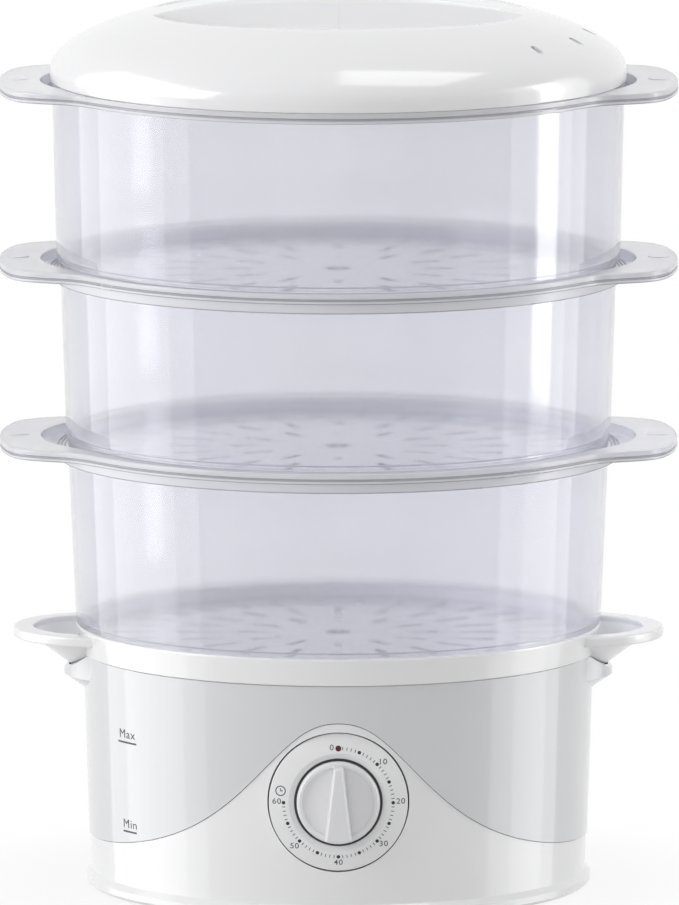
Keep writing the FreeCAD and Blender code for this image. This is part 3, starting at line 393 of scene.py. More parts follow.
def metalMaterial(name, look):
    material, *_, shader = coveredMaterial(name, look, brushedMetal, "Lines")
    setInputs(shader, {"Metallic": 1.0})
    return material


def clearMaterial(name, look):
    # lamps shine straight through it, so what it holds is lit
    material, nodes, links, shader = coveredMaterial(name, look, mouldedSkin, "Tooth")
    setInputs(shader, {"Transmission Weight": look["clearness"], "IOR": look["ior"]})
    through = addNode(nodes, "BsdfTransparent", {"Color": sharedLook["lightThrough"]})
    shadow = addNode(nodes, "LightPath").outputs["Is Shadow Ray"]
    whole = blend(nodes, links, shadow, shader.outputs["BSDF"], through.outputs["BSDF"])
    links.new(whole, nodes["Material Output"].inputs["Surface"])
    return material


materials = {name: plasticMaterial(name + "Finish", look) for name, look in finishes.items()}
materials.update({name: metalMaterial(name + "Finish", look) for name, look in metals.items()})
materials["clear_plastic"] = clearMaterial("clearWallFinish", clearFinishes["wall"])
frostedRim = clearMaterial("frostedRimFinish", clearFinishes["rim"])
# painted shade for the fine edges of the clear plastic
paintedShadeEdge = clearMaterial("paintedShadeEdgeFinish", clearFinishes["edge"])
blackInk, greyInk, maroonInk = (plasticMaterial(name + "Ink", {**look, **inkSurface})
                                for name, look in inks.items())

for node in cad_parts.values():
    for held in node.material_slots:
        held.material = materials[held.material.name]
print("finishes made:", len(materials))

# sizes that the housing, its marks and the drip tray share
housing = {
    "rimZ": 104.6, "rimR": 113.1, "creaseZ": 7.4, "footR": 110.0,
    "collarTopZ": 117.1, "collarTopR": 116.4, "collarFootR": 114.2, "collarInnerR": 113.2,
}


def housingRadius(z):
    share = (z - housing["creaseZ"]) / (housing["rimZ"] - housing["creaseZ"])
    return housing["footR"] + (housing["rimR"] - housing["footR"]) * share


basketShape = {
    "flangeR": 127.3, "earReach": 22.7, "earHalf": 23.5, "earPower": 10, "count": 320,
    "wall": 2.0, "flangeT": 3.2, "flangeLeft": 3.0, "pocketR": 70.6, "pocketX": 61.0,
    "pocketDepth": 4.6, "pocketTurn": 60, "opening": (0.2, 2.6),
    "panDrop": 3.0, "panWall": 1.6, "skirtT": 1.6, "footDrop": 8.4, "ledge": 3.0, "ledgeT": 1.6,
    "lipT": 1.2, "lipDrop": 4.7, "grooveDrops": (3.5, 3.2, 2.5, 2.2), "grooveDepth": 0.7,
    "ridges": (1.4, 3.0, 4.6), "ridgeR": 0.4, "ridgeSteps": 24,
    "thumbX": 141.5, "thumbY": 1.5, "thumbR": 4.8, "thumbFrom": 200, "thumbSweep": 140,
    "thumbSteps": 16, "thumbTube": 0.42,
    # from here on, how far below the flange's top each look reaches, and how far in; groove,
    # underLip and skirtFoot are where painted shade lines go
    "frosted": 9.5, "groove": (2.3, 3.35), "underLip": (4.2, 4.8), "skirtFoot": (8.5, 9.1),
    "edgeBand": 2.4,
}
basketRows = {
    "bottom": {"foot": 117.1, "top": 200.4, "footR": 116.2, "rimR": 119.5, "spigotR": 112.65,
               "skirtIn": 122.9, "skirt": 9.0},
    "middle": {"foot": 200.4, "top": 279.5, "footR": 120.4, "rimR": 122.8, "spigotR": 116.62,
               "skirtIn": 124.3, "skirt": 9.0},
    "top": {"foot": 279.5, "top": 358.6, "footR": 124.6, "rimR": 126.3, "spigotR": 120.0,
            "skirtIn": None, "skirt": 0.0},
}


def sideTurn(angle):
    # degrees from the nearer ear's middle
    return abs((math.degrees(angle) + 90) % 180 - 90)


def earEdge(turn):
    shape = basketShape
    fall = 1 + (turn / shape["earHalf"]) ** shape["earPower"]
    return shape["flangeR"] + shape["earReach"] / fall


def pocketEdge(turn):
    shape = basketShape
    angle = math.radians(turn)
    inside = shape["pocketR"] ** 2 - (shape["pocketX"] * math.sin(angle)) ** 2
    if turn > shape["pocketTurn"] or inside < 0:
        return 0.0
    return shape["pocketX"] * math.cos(angle) + math.sqrt(inside)


def basketCorners(row):
    shape = basketShape
    top, foot, footR = row["top"], row["foot"], row["footR"]
    wall, deep = shape["wall"], shape["grooveDepth"]
    low = foot - shape["footDrop"]
    rimR, inner = row["rimR"], row["spigotR"] - wall
    ledgeR, ledgeZ = inner - shape["ledge"], low + shape["ledgeT"]
    lipZ, grooveZ = top - shape["lipDrop"], [top - drop for drop in shape["grooveDrops"]]

    def cornersAt(angle):
        # the least offsets keep corners apart where there is no pocket or skirt
        turn = sideTurn(angle)
        edge = earEdge(turn)
        opened = easeBetween(*shape["opening"], pocketEdge(turn) - rimR)
        pocket = rimR + 0.04
        if opened > 0:
            pocket = max(pocket, min(pocketEdge(turn), edge - shape["flangeLeft"]))
        under = top - shape["flangeT"]
        pan = under - shape["panDrop"] * opened
        floor = top - shape["pocketDepth"] * opened
        skirtIn = row["skirtIn"] or rimR + 0.3
        skirtOut = skirtIn + (shape["skirtT"] if row["skirtIn"] else 0.1)
        skirtZ = top - row["skirt"] if row["skirtIn"] else pan
        lipIn = max(edge - shape["lipT"], skirtOut + 0.1)
        panEnd = min(max(pocket + shape["panWall"], skirtOut + 0.1), lipIn - 0.02)
        return [
            (row["spigotR"], low, 0.6), (row["spigotR"], foot, 0.2), (footR, foot, 0.9),
            (rimR, pan, 0.5), (skirtIn, pan, 0.2), (skirtIn, skirtZ, 0.3),
            (skirtOut, skirtZ, 0.6), (skirtOut, pan, 0.2), (panEnd, pan, 0.4),
            (panEnd, under, 0.2), (lipIn, under, 0.2), (lipIn, lipZ, 0.3), (edge, lipZ, 0.5),
            (edge, grooveZ[0], 0.3), (edge - deep, grooveZ[1], 0.2),
            (edge - deep, grooveZ[2], 0.2), (edge, grooveZ[3], 0.3),
            (edge, top, 0.9), (pocket, top, 0.5), (pocket, floor, 0.5),
            (rimR, floor, 0.3), (rimR, top, 0.3), (rimR - wall, top, 0.7),
            (footR - wall, foot + wall, 0.8), (inner, foot + wall, 0.5), (inner, ledgeZ, 0.3),
            (ledgeR, ledgeZ, 0.3), (ledgeR, low, 0.3),
        ]
    return cornersAt


def pocketRidges(row):
    # fine ridges that run round the floor of each ear's pocket, in the painted shade finish so
    # that they show as dark arcs
    shape = basketShape
    steps, z = shape["ridgeSteps"], row["top"] - shape["pocketDepth"] + 0.1
    made = []
    for side in (0, 180):
        for away in shape["ridges"]:
            r = row["rimR"] + away
            reach = max((t for t in range(shape["pocketTurn"]) if pocketEdge(t) > r + 0.5),
                        default=0)
            if reach < 4:
                continue
            path = []
            for n in range(steps + 1):
                angle = math.radians(side + reach * (2 * n / steps - 1))
                path.append((r * math.cos(angle), r * math.sin(angle), z))
            made.append(tubeAlong(path, shape["ridgeR"], 6))
    return joined(*made)


def thumbMarks(row):
    # a small raised crescent near each ear's tip
    shape = basketShape
    r, steps = shape["thumbR"], shape["thumbSteps"]
    made = []
    for side in (-1, 1):
        path = []
        for n in range(steps + 1):
            a = math.radians(shape["thumbFrom"] + shape["thumbSweep"] * n / steps)
            path.append((side * shape["thumbX"] + r * math.cos(a),
                         shape["thumbY"] + r * math.sin(a), row["top"] - 0.05))
        made.append(tubeAlong(path, shape["thumbTube"]))
    return joined(*made)


def within(span, value):
    return span[0] < value < span[1]


def frostRim(mesh, row):
    # the flange, its lips and the ears are less clear than the wall; their fine edges and the
    # skirt's foot get painted shade as darker lines
    shape = basketShape
    mesh.materials.append(frostedRim)
    mesh.materials.append(paintedShadeEdge)
    for face in mesh.polygons:
        x, y, z = (c / mm for c in face.center)
        r = math.hypot(x, y)
        drop = row["top"] - z
        if drop > shape["frosted"] or r < row["rimR"] + 0.06:
            continue
        face.material_index = 1
        nearEdge = r > earEdge(sideTurn(math.atan2(y, x))) - shape["edgeBand"]
        paintedShadeLine = within(shape["groove"], drop) or within(shape["underLip"], drop)
        skirtFoot = row["skirtIn"] and within(shape["skirtFoot"], drop)
        # painted shade lines on the groove, under the lip and along the skirt's foot
        if nearEdge and paintedShadeLine or skirtFoot:
            face.material_index = 2


for level, row in basketRows.items():
    node = "basket_" + level
    mesh = makeMesh("basketShell", lathe(basketCorners(row), basketShape["count"]))
    placePiece("basket_shell_" + level, mesh, node, "clear_plastic", (node,))
    frostRim(mesh, row)
    placePiece("thumb_marks_" + level, makeMesh("thumbMarks", thumbMarks(row)), node,
               "clear_plastic", material=frostedRim)
    # painted shade: the ridges carry the dark edge finish
    placePiece("pocket_ridges_" + level, makeMesh("pocketRidges", pocketRidges(row)), node,
               "clear_plastic", material=paintedShadeEdge)
print("baskets made")

lidShape = {
    "seatZ": 358.6, "sideZ": 362.6, "edgeR": 127.3, "rise": 34.3, "wall": 2.2,
    "recessR": 84.0, "recessY": 4.0, "barMid": 5.0, "barEnd": 15.0, "floorZ": 381.0,
    "dipEnd": 0.55, "riseFrom": 0.82, "deepWidth": 24.0, "evenR": 90, "bowlR": 110,
    "ringSteps": 46, "spacing": 3.0, "innerR": 121.8, "rimCount": 300, "denseR": 118,
    "columns": 66, "rows": (0.02, 0.06, 0.11, 0.17, 0.24, 0.31, 0.38, 0.45, 0.52, 0.59, 0.66, 0.73,
                            0.79, 0.83, 0.86, 0.89, 0.92, 0.95, 0.975),
    # the rim from its outer foot round to the inside, as radius and height above the seat
    "rim": ((127.3, 1.0), (127.15, 0.45), (126.8, 0.1), (126.3, 0.0), (125.7, 0.1), (125.5, 0.5),
            (125.4, 2.0), (123.6, 2.0), (123.6, -4.0), (123.4, -4.4), (122.9, -4.6),
            (122.3, -4.5), (121.8, -4.0), (121.8, 6.0)),
    "vents": (-38, -19, 0, 19, 38), "ventR": 110.7, "ventHalf": 3.5, "ventRound": 1.9,
    "recessGap": 1.1, "tipGap": 1.2, "ventGap": 0.7,  # kept free of the even net of points
    "ribR": 0.22, "ribSteps": 40, "sharpAngle": 26,
}


def domeZ(r):
    shape = lidShape
    share = min(r / shape["edgeR"], 1.0)
    return shape["sideZ"] + shape["rise"] * math.sqrt(max(1 - share * share, 0.0))


def arcY(x):
    shape = lidShape
    return shape["recessY"] - math.sqrt(max(shape["recessR"] ** 2 - x * x, 0.0))


def barY(x):
    shape = lidShape
    return -(shape["barMid"] + (shape["barEnd"] - shape["barMid"]) * (x / shape["recessR"]) ** 2)


def recessTip():
    low, high = 60.0, lidShape["recessR"]
    for _ in range(50):
        middle = (low + high) / 2
        low, high = (middle, high) if arcY(middle) < barY(middle) else (low, middle)
    return low


tipX = recessTip()


def recessShare(x, y):
    # 0 on the outer arc and 1 at the bar's edge, or None outside the two recesses
    y = -abs(y)
    if abs(x) >= tipX or not arcY(x) < y < barY(x):
        return None
    return (y - arcY(x)) / (barY(x) - arcY(x))


def lidZ(x, y):
    share = recessShare(x, y)
    if share is None:
        return domeZ(math.hypot(x, y))
    front, back = domeZ(math.hypot(x, arcY(x))), domeZ(math.hypot(x, barY(x)))
    level = front + (back - front) * share
    depth = max(level - lidShape["floorZ"], 0.0)
    depth *= easeBetween(0.0, lidShape["deepWidth"], barY(x) - arcY(x))
    dip = easeBetween(0.0, lidShape["dipEnd"], share)
    dip *= 1 - easeBetween(lidShape["riseFrom"], 1.0, share)
    return level - depth * dip


def ventOutline(degrees):
    shape = lidShape
    a = math.radians(degrees)
    small, reach = shape["ventRound"], shape["ventHalf"] - shape["ventRound"]
    points = []
    for end in (-1, 1):
        for n in range(9):
            t = math.radians(180 + 90 * end + 180 * n / 8)
            r = shape["ventR"] + end * reach + small * math.cos(t)
            s = small * math.sin(t)
            points.append((r * math.cos(a) - s * math.sin(a), r * math.sin(a) + s * math.cos(a)))
    return points


def inVent(x, y, grow=0.0):
    shape = lidShape
    for degrees in shape["vents"]:
        a = math.radians(degrees)
        r, s = x * math.cos(a) + y * math.sin(a), y * math.cos(a) - x * math.sin(a)
        reach = shape["ventHalf"] - shape["ventRound"]
        along = max(abs(r - shape["ventR"]) - reach, 0.0)
        if math.hypot(along, s) < shape["ventRound"] + grow:
            return True
    return False


def nearRecess(x, y):
    gap, tipGap = lidShape["recessGap"], lidShape["tipGap"]
    for dx, dy in ((0, 0), (gap, 0), (-gap, 0), (0, gap), (0, -gap)):
        if recessShare(x + dx, y + dy) is not None:
            return True
    return abs(abs(x) - tipX) < tipGap and abs(abs(y) + arcY(tipX)) < tipGap


def lidPlan():
    shape = lidShape
    points, edges = [], []

    def addLoop(loop):
        base = len(points)
        points.extend(loop)
        edges.extend((base + i, base + (i + 1) % len(loop)) for i in range(len(loop)))

    addLoop(ringPoints(shape["edgeR"], shape["rimCount"]))
    columns = shape["columns"]
    for side in (-1, 1):
        xs = [tipX * math.sin(math.pi * (i / columns - 0.5)) for i in range(columns + 1)]
        outer = [(x, -side * arcY(x)) for x in xs]
        inner = [(x, -side * barY(x)) for x in reversed(xs[1:-1])]
        addLoop(outer + inner)
        for x in xs[3:-3]:
            for share in shape["rows"]:
                points.append((x, -side * (arcY(x) + (barY(x) - arcY(x)) * share)))
    for degrees in shape["vents"]:
        addLoop(ventOutline(degrees))
    points.append((0.0, 0.0))
    for n in range(1, shape["ringSteps"]):
        r = shape["edgeR"] * math.sin(math.pi / 2 * n / shape["ringSteps"])
        count = max(12, round(2 * math.pi * r / shape["spacing"]))
        if r > shape["denseR"]:
            count = shape["rimCount"]
        for x, y in ringPoints(r, count, 0.5 * (n % 2)):
            if not nearRecess(x, y) and not inVent(x, y, shape["ventGap"]):
                points.append((x, y))
    done = delaunay_2d_cdt([Vector(p) for p in points], edges, [], 0, 1e-5)
    return [tuple(p) for p in done[0]], [tuple(f) for f in done[2]]


def makeLid():
    shape = lidShape
    evenR, wall = shape["evenR"], shape["wall"]
    plan, faces = lidPlan()
    kept = []
    for face in faces:
        x = sum(plan[i][0] for i in face) / len(face)
        y = sum(plan[i][1] for i in face) / len(face)
        if not inVent(x, y):
            kept.append(face)
    verts = [(x, y, lidZ(x, y)) for x, y in plan]
    total = len(plan)
    for x, y in plan:
        r = math.hypot(x, y)
        if r <= evenR:
            verts.append((x, y, lidZ(x, y) - wall))
            continue
        inside = evenR + (r - evenR) * (shape["innerR"] - evenR) / (shape["edgeR"] - evenR)
        hollow = math.sqrt(1 - (inside / (shape["edgeR"] - wall)) ** 2)
        bowl = shape["sideZ"] + (shape["rise"] - wall) * hollow
        share = easeBetween(evenR, shape["bowlR"], r)
        z = (lidZ(x, y) - wall) * (1 - share) + bowl * share
        verts.append((x * inside / r, y * inside / r, z))
    shell = kept + [tuple(total + i for i in reversed(face)) for face in kept]
    seen = {}
    for face in kept:
        for i, a in enumerate(face):
            b = face[(i + 1) % len(face)]
            key = (min(a, b), max(a, b))
            seen[key] = None if key in seen else (a, b)
    edge = shape["edgeR"] - 0.01
    onRim = {i for i, (x, y) in enumerate(plan) if math.hypot(x, y) > edge}
    for a, b in filter(None, seen.values()):
        if a not in onRim or b not in onRim:
            shell.append((b, a, total + a, total + b))
    loop = sorted(onRim, key=lambda i: math.atan2(plan[i][1], plan[i][0]))
    rings = [loop]
    for r, up in shape["rim"]:
        rings.append([len(verts) + n for n in range(len(loop))])
        for i in loop:
            a = math.atan2(plan[i][1], plan[i][0])
            verts.append((r * math.cos(a), r * math.sin(a), shape["seatZ"] + up))
    rings.append([total + i for i in loop])
    for upper, lower in zip(rings, rings[1:]):
        for n in range(len(loop)):
            k = (n + 1) % len(loop)
            shell.append((upper[n], upper[k], lower[k], lower[n]))
    return verts, shell


def recessRibs():
    # a fine raised line down the middle of each recess
    steps = lidShape["ribSteps"]
    ribs = []
    for side in (-1, 1):
        path = []
        for n in range(steps + 1):
            y = arcY(0) + 0.3 + (barY(0) - arcY(0) - 0.6) * n / steps
            path.append((0.0, -side * y, lidZ(0.0, y) - 0.12))
        ribs.append(tubeAlong(path, lidShape["ribR"]))
    return joined(*ribs)


lidMesh = makeMesh("lidShell", joined(makeLid(), recessRibs()), lidShape["sharpAngle"])
placePiece("lid_shell", lidMesh, "lid", "lid_plastic", ("lid",))
print("lid made")

trayShape = {
    "ledgeZ": 107.2, "basinR": 106.5, "basinWall": 2.2, "underZ": 94.0, "floorZ": 96.2,
    "revealIn": 1.8, "revealZ": 0.5, "chimneyR": 28.0, "chimneyZ": 101.0, "chimneyWall": 2.0,
    "capR": 34.0, "capZ": 104.0, "capT": 2.0, "capSide": 1.2, "capSlope": 4.0,
    "posts": 6, "postZ": 99.0, "postFootR": 1.8, "postTopR": 1.6,
}
scoopShape = {
    "x": 104.0, "r": 40.0, "z": 115.2, "flareR": 31.5, "flareZ": 110.7,
    "throatR": 12.6, "throatIn": 10.2, "throatZ": 96.5, "footZ": 93.5,
    "pocketR": 31.0, "pocketZ": 112.6,
    # the outline of what is taken off the scoops, so that they end in the tray's own wall
    "cutOff": [(0.0, 60.0, 0), (106.0, 60.0, 0), (106.0, 105.6, 0), (113.9, 105.6, 0),
               (113.9, 140.0, 0), (0.0, 140.0, 0)],
}


def makeTray():
    shape = trayShape
    rimZ, foot = housing["rimZ"], housing["collarFootR"]
    topZ, innerR = housing["collarTopZ"], housing["collarInnerR"]
    reveal, revealZ = foot - shape["revealIn"], rimZ + shape["revealZ"]
    basinR, chimneyR, chimneyZ = shape["basinR"], shape["chimneyR"], shape["chimneyZ"]
    basinIn, flue = basinR - shape["basinWall"], chimneyR - shape["chimneyWall"]
    ledgeZ, floorZ, underZ = shape["ledgeZ"], shape["floorZ"], shape["underZ"]
    pan = lathe([
        (reveal, revealZ, 0.1), (foot, revealZ, 0.4), (housing["collarTopR"], topZ, 1.2),
        (innerR + 0.4, topZ, 0.6), (innerR, ledgeZ, 0.5), (basinIn, ledgeZ, 0.9),
        (basinIn, floorZ, 1.8), (chimneyR, floorZ, 1.2), (chimneyR, chimneyZ, 0.7),
        (flue, chimneyZ, 0.7), (flue, underZ, 0.4), (basinR, underZ, 1.5),
        (basinR, rimZ, 0.3), (reveal, rimZ, 0.1)], 240)
    capR, capZ, capTop = shape["capR"], shape["capZ"], shape["capZ"] + shape["capT"]
    cap = lathe([(0.0, capZ, 0), (capR - 1.0, capZ, 0.3), (capR, capZ, 0.3),
                 (capR, capZ + shape["capSide"], 0.5), (capR - shape["capSlope"], capTop, 1.5),
                 (0.0, capTop, 0)], 96)
    postTop, postAway = capZ + 0.6, (chimneyR + flue) / 2
    post = [(0.0, shape["postZ"], 0), (shape["postFootR"], shape["postZ"], 0.3),
            (shape["postTopR"], postTop, 0.3), (0.0, postTop, 0)]
    posts = []
    for n in range(shape["posts"]):
        a = math.radians(n * 360 / shape["posts"])
        posts.append(lathe(post, 20, (postAway * math.cos(a), postAway * math.sin(a))))
    return joined(pan, cap, *posts, *makeScoops())


def makeScoops():
    shape = scoopShape
    r, z, pocketR = shape["r"], shape["z"], shape["pocketR"]
    flareZ, throatZ, footZ = shape["flareZ"], shape["throatZ"], shape["footZ"]
    outline = [
        (shape["throatR"], footZ, 0.4), (shape["throatR"], throatZ, 0.9),
        (shape["flareR"], flareZ, 0.9), (r, flareZ, 0.9), (r, z, 1.5), (pocketR, z, 1.0),
        (pocketR, shape["pocketZ"], 0.9), (shape["throatIn"], throatZ, 0.8),
        (shape["throatIn"], footZ, 0.4)]
    inside = lathe(shape["cutOff"], 240)
    return [cutAway(lathe(outline, 120, (side * shape["x"], 0.0)), inside) for side in (-1, 1)]


placePiece("drip_tray_shell", makeMesh("dripTrayShell", makeTray()), "drip_tray",
           "white_plastic", ("drip_tray",))
print("drip tray made")

dialShape = {
    "z": 53.2, "face": 112.0, "r": 30.45, "crown": 2.0, "crownPower": 1.4,
    "crownRings": (29.2, 27.5, 25.6, 23.7), "skirt": 10.5, "skirtIn": 28.8,
    "wellR": 21.8, "wellFloorR": 19.4, "wellDepth": 3.0, "slopeDrop": 1.3, "boreR": 4.0,
    "backDepth": 5.0, "backR": 20.6, "hollowR": 22.4, "hollowDepth": 2.0,
    # a black ring in the gap round the knob, as painted shade for that gap
    "shadeRingR": 19.3, "shadeRingInR": 18.4, "shadeRingFace": 110.75, "shadeRingBack": 108.8,
}
knobShape = {
    "r": 18.25, "back": 109.4, "rim": 113.9, "rimR": 17.2, "rimDrop": 1.6, "rimT": 1.4,
    "face": 112.4, "dishIn": 1.9, "backIn": 16.2, "backOut": 16.7, "backStep": 0.6,
    "boreR": 4.0, "boreDepth": 2.0, "gripTop": 122.9, "wide": 6.3, "narrow": 2.2, "gripR": 17.4,
    "taper": 0.7, "sideRows": 12, "endSteps": 8,
    # how far the grip's side draws in, and how far below its top
    "gripBevel": ((0.5, 2.2), (0.62, 1.3), (0.95, 0.55), (1.5, 0.15), (2.0, 0.0)),
}


def toDial(x, y, h):
    # a point of the dial's own plan, h in front of the axis, to its place
    return x, -h, dialShape["z"] + y


def dialFaceH(x, y):
    # the face is slightly crowned and falls away to its edge
    share = (math.hypot(x, y) - dialShape["wellR"]) / (dialShape["r"] - dialShape["wellR"])
    return dialShape["face"] - dialShape["crown"] * max(share, 0.0) ** dialShape["crownPower"]


def onFace(x, y, lift):
    return toDial(x, y, dialFaceH(x, y) + lift)


def makeDialPlate():
    shape = dialShape
    face, well, bore = shape["face"], shape["wellFloorR"], shape["boreR"]
    floor, back = face - shape["wellDepth"], face - shape["backDepth"]
    hollow, foot = face - shape["hollowDepth"], face - shape["skirt"]
    crown = [(r, dialFaceH(r, 0), 0) for r in shape["crownRings"]]
    plate = lathe([
        (shape["r"], foot, 0.3), (shape["r"], face - shape["crown"], 0.4), *crown,
        (shape["wellR"], face, 0.3), (well, face - shape["slopeDrop"], 0.15), (well, floor, 0.3),
        (bore, floor, 0.3), (bore, back, 0.2), (shape["backR"], back, 0.8),
        (shape["hollowR"], hollow, 0.6), (shape["skirtIn"], hollow, 0.6),
        (shape["skirtIn"], foot, 0.3)], 160)
    return moved(plate, toDial)


# painted shade: a black ring that stands in for the dark gap round the knob
def makeDialShadeRing():
    inner, outer = dialShape["shadeRingInR"], dialShape["shadeRingR"]
    back, face = dialShape["shadeRingBack"], dialShape["shadeRingFace"]
    ring = [(inner, back, 0.05), (outer, back, 0.05), (outer, face, 0.2), (inner, face, 0.2)]
    return moved(lathe(ring, 120), toDial)


def gripLoop(inset, h):
    shape = knobShape
    r = shape["gripR"] - inset
    points = []

    def halfWidth(y):
        share = (y + shape["gripR"]) / (2 * shape["gripR"])
        wide = shape["wide"] + (shape["narrow"] - shape["wide"]) * share
        return wide - inset * shape["taper"]

    ends = []
    for sign in (-1, 1):
        y = sign * r
        for _ in range(6):
            y = sign * math.sqrt(max(r * r - halfWidth(y) ** 2, 0.0))
        ends.append(y)
    rows, steps = shape["sideRows"], shape["endSteps"]
    for sign, (start, end) in ((1, ends), (-1, ends[::-1])):
        for n in range(rows + 1):
            y = start + (end - start) * n / rows
            points.append((sign * halfWidth(y), y))
        for n in range(1, steps):
            x = sign * halfWidth(end) * (1 - 2 * n / steps)
            points.append((x, sign * math.sqrt(r * r - x * x)))
    return [toDial(x, y, h) for x, y in points]


def makeKnob():
    shape = knobShape
    r, rimR, bore = shape["r"], shape["rimR"], shape["boreR"]
    back, rim, face = shape["back"], shape["rim"], shape["face"]
    step, hub = back + shape["backStep"], back + shape["boreDepth"]
    disc = moved(lathe([
        (bore, step, 0.3), (shape["backIn"], step, 0.3), (shape["backOut"], back, 0.2),
        (r, back, 0.3), (r, rim - shape["rimDrop"], 0.6), (rimR, rim, 0.5),
        (rimR - shape["rimT"], rim, 0.4), (rimR - shape["dishIn"], face + 0.2, 0.4),
        (0.0, face, 0), (0.0, hub, 0), (bore, hub, 0.3)], 160), toDial)
    loops = [gripLoop(0.0, face - 1.0), gripLoop(0.2, rim)]
    loops += [gripLoop(inset, shape["gripTop"] - below) for inset, below in shape["gripBevel"]]
    return joined(disc, loftLoops(loops))


placePiece("dial_face", makeMesh("dialFace", makeDialPlate()), "base", "white_plastic",
           ("dial_plate",))
# the black ring is painted shade for the gap round the knob
placePiece("dial_shade_ring", makeMesh("dialShadeRing", makeDialShadeRing()), "base", "black_plastic")
placePiece("knob_grip", makeMesh("knobGrip", makeKnob()), "knob", "knob_plastic",
           ("timer_knob",))

dialPrint = {
    "proud": 0.03, "sunk": -0.02, "ring": 24.0, "minutes": 60, "stepDegrees": 4.5,
    "zeroDot": 1.3, "fiveDot": 0.78, "tick": (1.35, 0.34),
    "size": 3.5, "weight": 0.02, "stretch": 1.08,
    "numbers": {"0": (-2.9, 24.3), "10": (19.4, 18.0), "20": (27.3, 0.5), "30": (19.8, -18.3),
                "40": (0.0, -26.6), "50": (-19.2, -19.3), "60": (-27.0, 0.5)},
    "clock": (-25.3, 5.2), "clockR": 2.3, "clockHole": 1.85, "handWide": 0.4,
    "hands": ((0.45, 0.0, 1.1, 0), (0.0, 0.5, 1.2, 90)),  # middle, length and degrees
}
letterLook = {"thickness": 0.025, "spacing": 1.12, "steps": 6}


def discPrint(x, y, radius, sides=24, hole=0.0):
    # a thin printed spot, or a ring when it has a hole
    low, high = dialPrint["sunk"], dialPrint["proud"]
    outline = [(hole, low, 0), (radius, low, 0), (radius, high, 0), (hole, high, 0)]
    return moved(lathe(outline, sides, (x, y)), onFace)


def barPrint(x, y, length, width, turn):
    a, b = length / 2, width / 2
    loops = [[onFace(x + p * math.cos(turn) - q * math.sin(turn),
                     y + p * math.sin(turn) + q * math.cos(turn), lift)
              for p, q in ((-a, -b), (a, -b), (a, b), (-a, b))]
             for lift in (dialPrint["sunk"], dialPrint["proud"])]
    return loftLoops(loops)


def letterParts(text, look, change):
    # thin letters, placed by change(x, y, lift)
    curve = bpy.data.curves.new("lettering", "FONT")
    curve.body = text
    curve.size = look["size"]
    curve.offset = look["weight"]
    curve.align_x = curve.align_y = "CENTER"
    curve.extrude = letterLook["thickness"]
    curve.space_character = letterLook["spacing"]
    curve.resolution_u = letterLook["steps"]
    drawn = bpy.data.objects.new("lettering", curve)
    scene.collection.objects.link(drawn)
    graph = bpy.context.evaluated_depsgraph_get()
    mesh = bpy.data.meshes.new_from_object(drawn.evaluated_get(graph))
    part = ([change(*v.co) for v in mesh.vertices], [tuple(p.vertices) for p in mesh.polygons])
    bpy.data.objects.remove(drawn)
    return part


def clockMark():
    x, y = dialPrint["clock"]
    hands = [barPrint(x + dx, y + dy, length, dialPrint["handWide"], math.radians(degrees))
             for dx, dy, length, degrees in dialPrint["hands"]]
    return joined(discPrint(x, y, dialPrint["clockR"], 40, dialPrint["clockHole"]), *hands)


def numberPrint(text, spot):
    def place(x, y, lift):
        return onFace(x * dialPrint["stretch"] + spot[0], y + spot[1], lift)
    return letterParts(text, dialPrint, place)


dots, ticks = [], []
for minute in range(dialPrint["minutes"] + 1):
    turn = math.radians(90 - minute * dialPrint["stepDegrees"])
    x, y = dialPrint["ring"] * math.cos(turn), dialPrint["ring"] * math.sin(turn)
    if minute == 0:
        zeroDot = discPrint(x, y, dialPrint["zeroDot"])
    elif minute % 5 == 0:
        dots.append(discPrint(x, y, dialPrint["fiveDot"]))
    else:
        ticks.append(barPrint(x, y, *dialPrint["tick"], turn))
numbers = [numberPrint(text, spot) for text, spot in dialPrint["numbers"].items()]
for name, meshName, part, ink in (
        ("dial_dots", "dialDots", joined(*dots), blackInk),
        ("dial_ticks", "dialTicks", joined(*ticks), greyInk),
        ("dial_numbers", "dialNumbers", joined(*numbers), greyInk),
        ("dial_clock_mark", "dialClock", clockMark(), greyInk),
        ("dial_zero_dot", "dialZeroDot", zeroDot, maroonInk)):
    placePiece(name, makeMesh(meshName, part), "base", "black_plastic", material=ink,
               evenShading=False)
print("dial and knob made")

waterMarks = {
    "Max": {"x": -93.1, "z": 75.6, "lineZ": 72.0, "half": 7.2},
    "Min": {"x": -91.8, "z": 35.4, "lineZ": 32.1, "half": 5.2},
}
markPrint = {"size": 5.5, "weight": -0.01, "stretch": 1.25, "lift": 0.02, "lineHalf": 0.4,
             "lineT": 0.03, "lineSteps": 12}


def onTank(centreX, z0):
    angle = math.asin(centreX / housingRadius(z0))

    def place(x, y, lift):
        r = housingRadius(z0 + y) + markPrint["lift"] + lift
        turn = angle + x / housingRadius(z0)
        return r * math.sin(turn), -r * math.cos(turn), z0 + y
    return place


def wordPrint(word, spot):
    place = onTank(spot["x"], spot["z"])
    return letterParts(word, markPrint,
                       lambda x, y, lift: place(markPrint["stretch"] * x, y, lift))


def linePrint(spot):
    place = onTank(spot["x"], spot["lineZ"])
    high, out, steps = markPrint["lineHalf"], markPrint["lineT"], markPrint["lineSteps"]
    loops = []
    for n in range(steps + 1):
        x = spot["half"] * (2 * n / steps - 1)
        loops.append([place(x, y, lift) for y, lift in
                      ((-high, -out), (high, -out), (high, out), (-high, out))])
    return loftLoops(loops)


marks = []
for word, spot in waterMarks.items():
    marks += [wordPrint(word, spot), linePrint(spot)]
placePiece("water_marks", makeMesh("waterMarks", joined(*marks)), "base", "black_plastic",
           material=blackInk, evenShading=False)
print("water marks made")

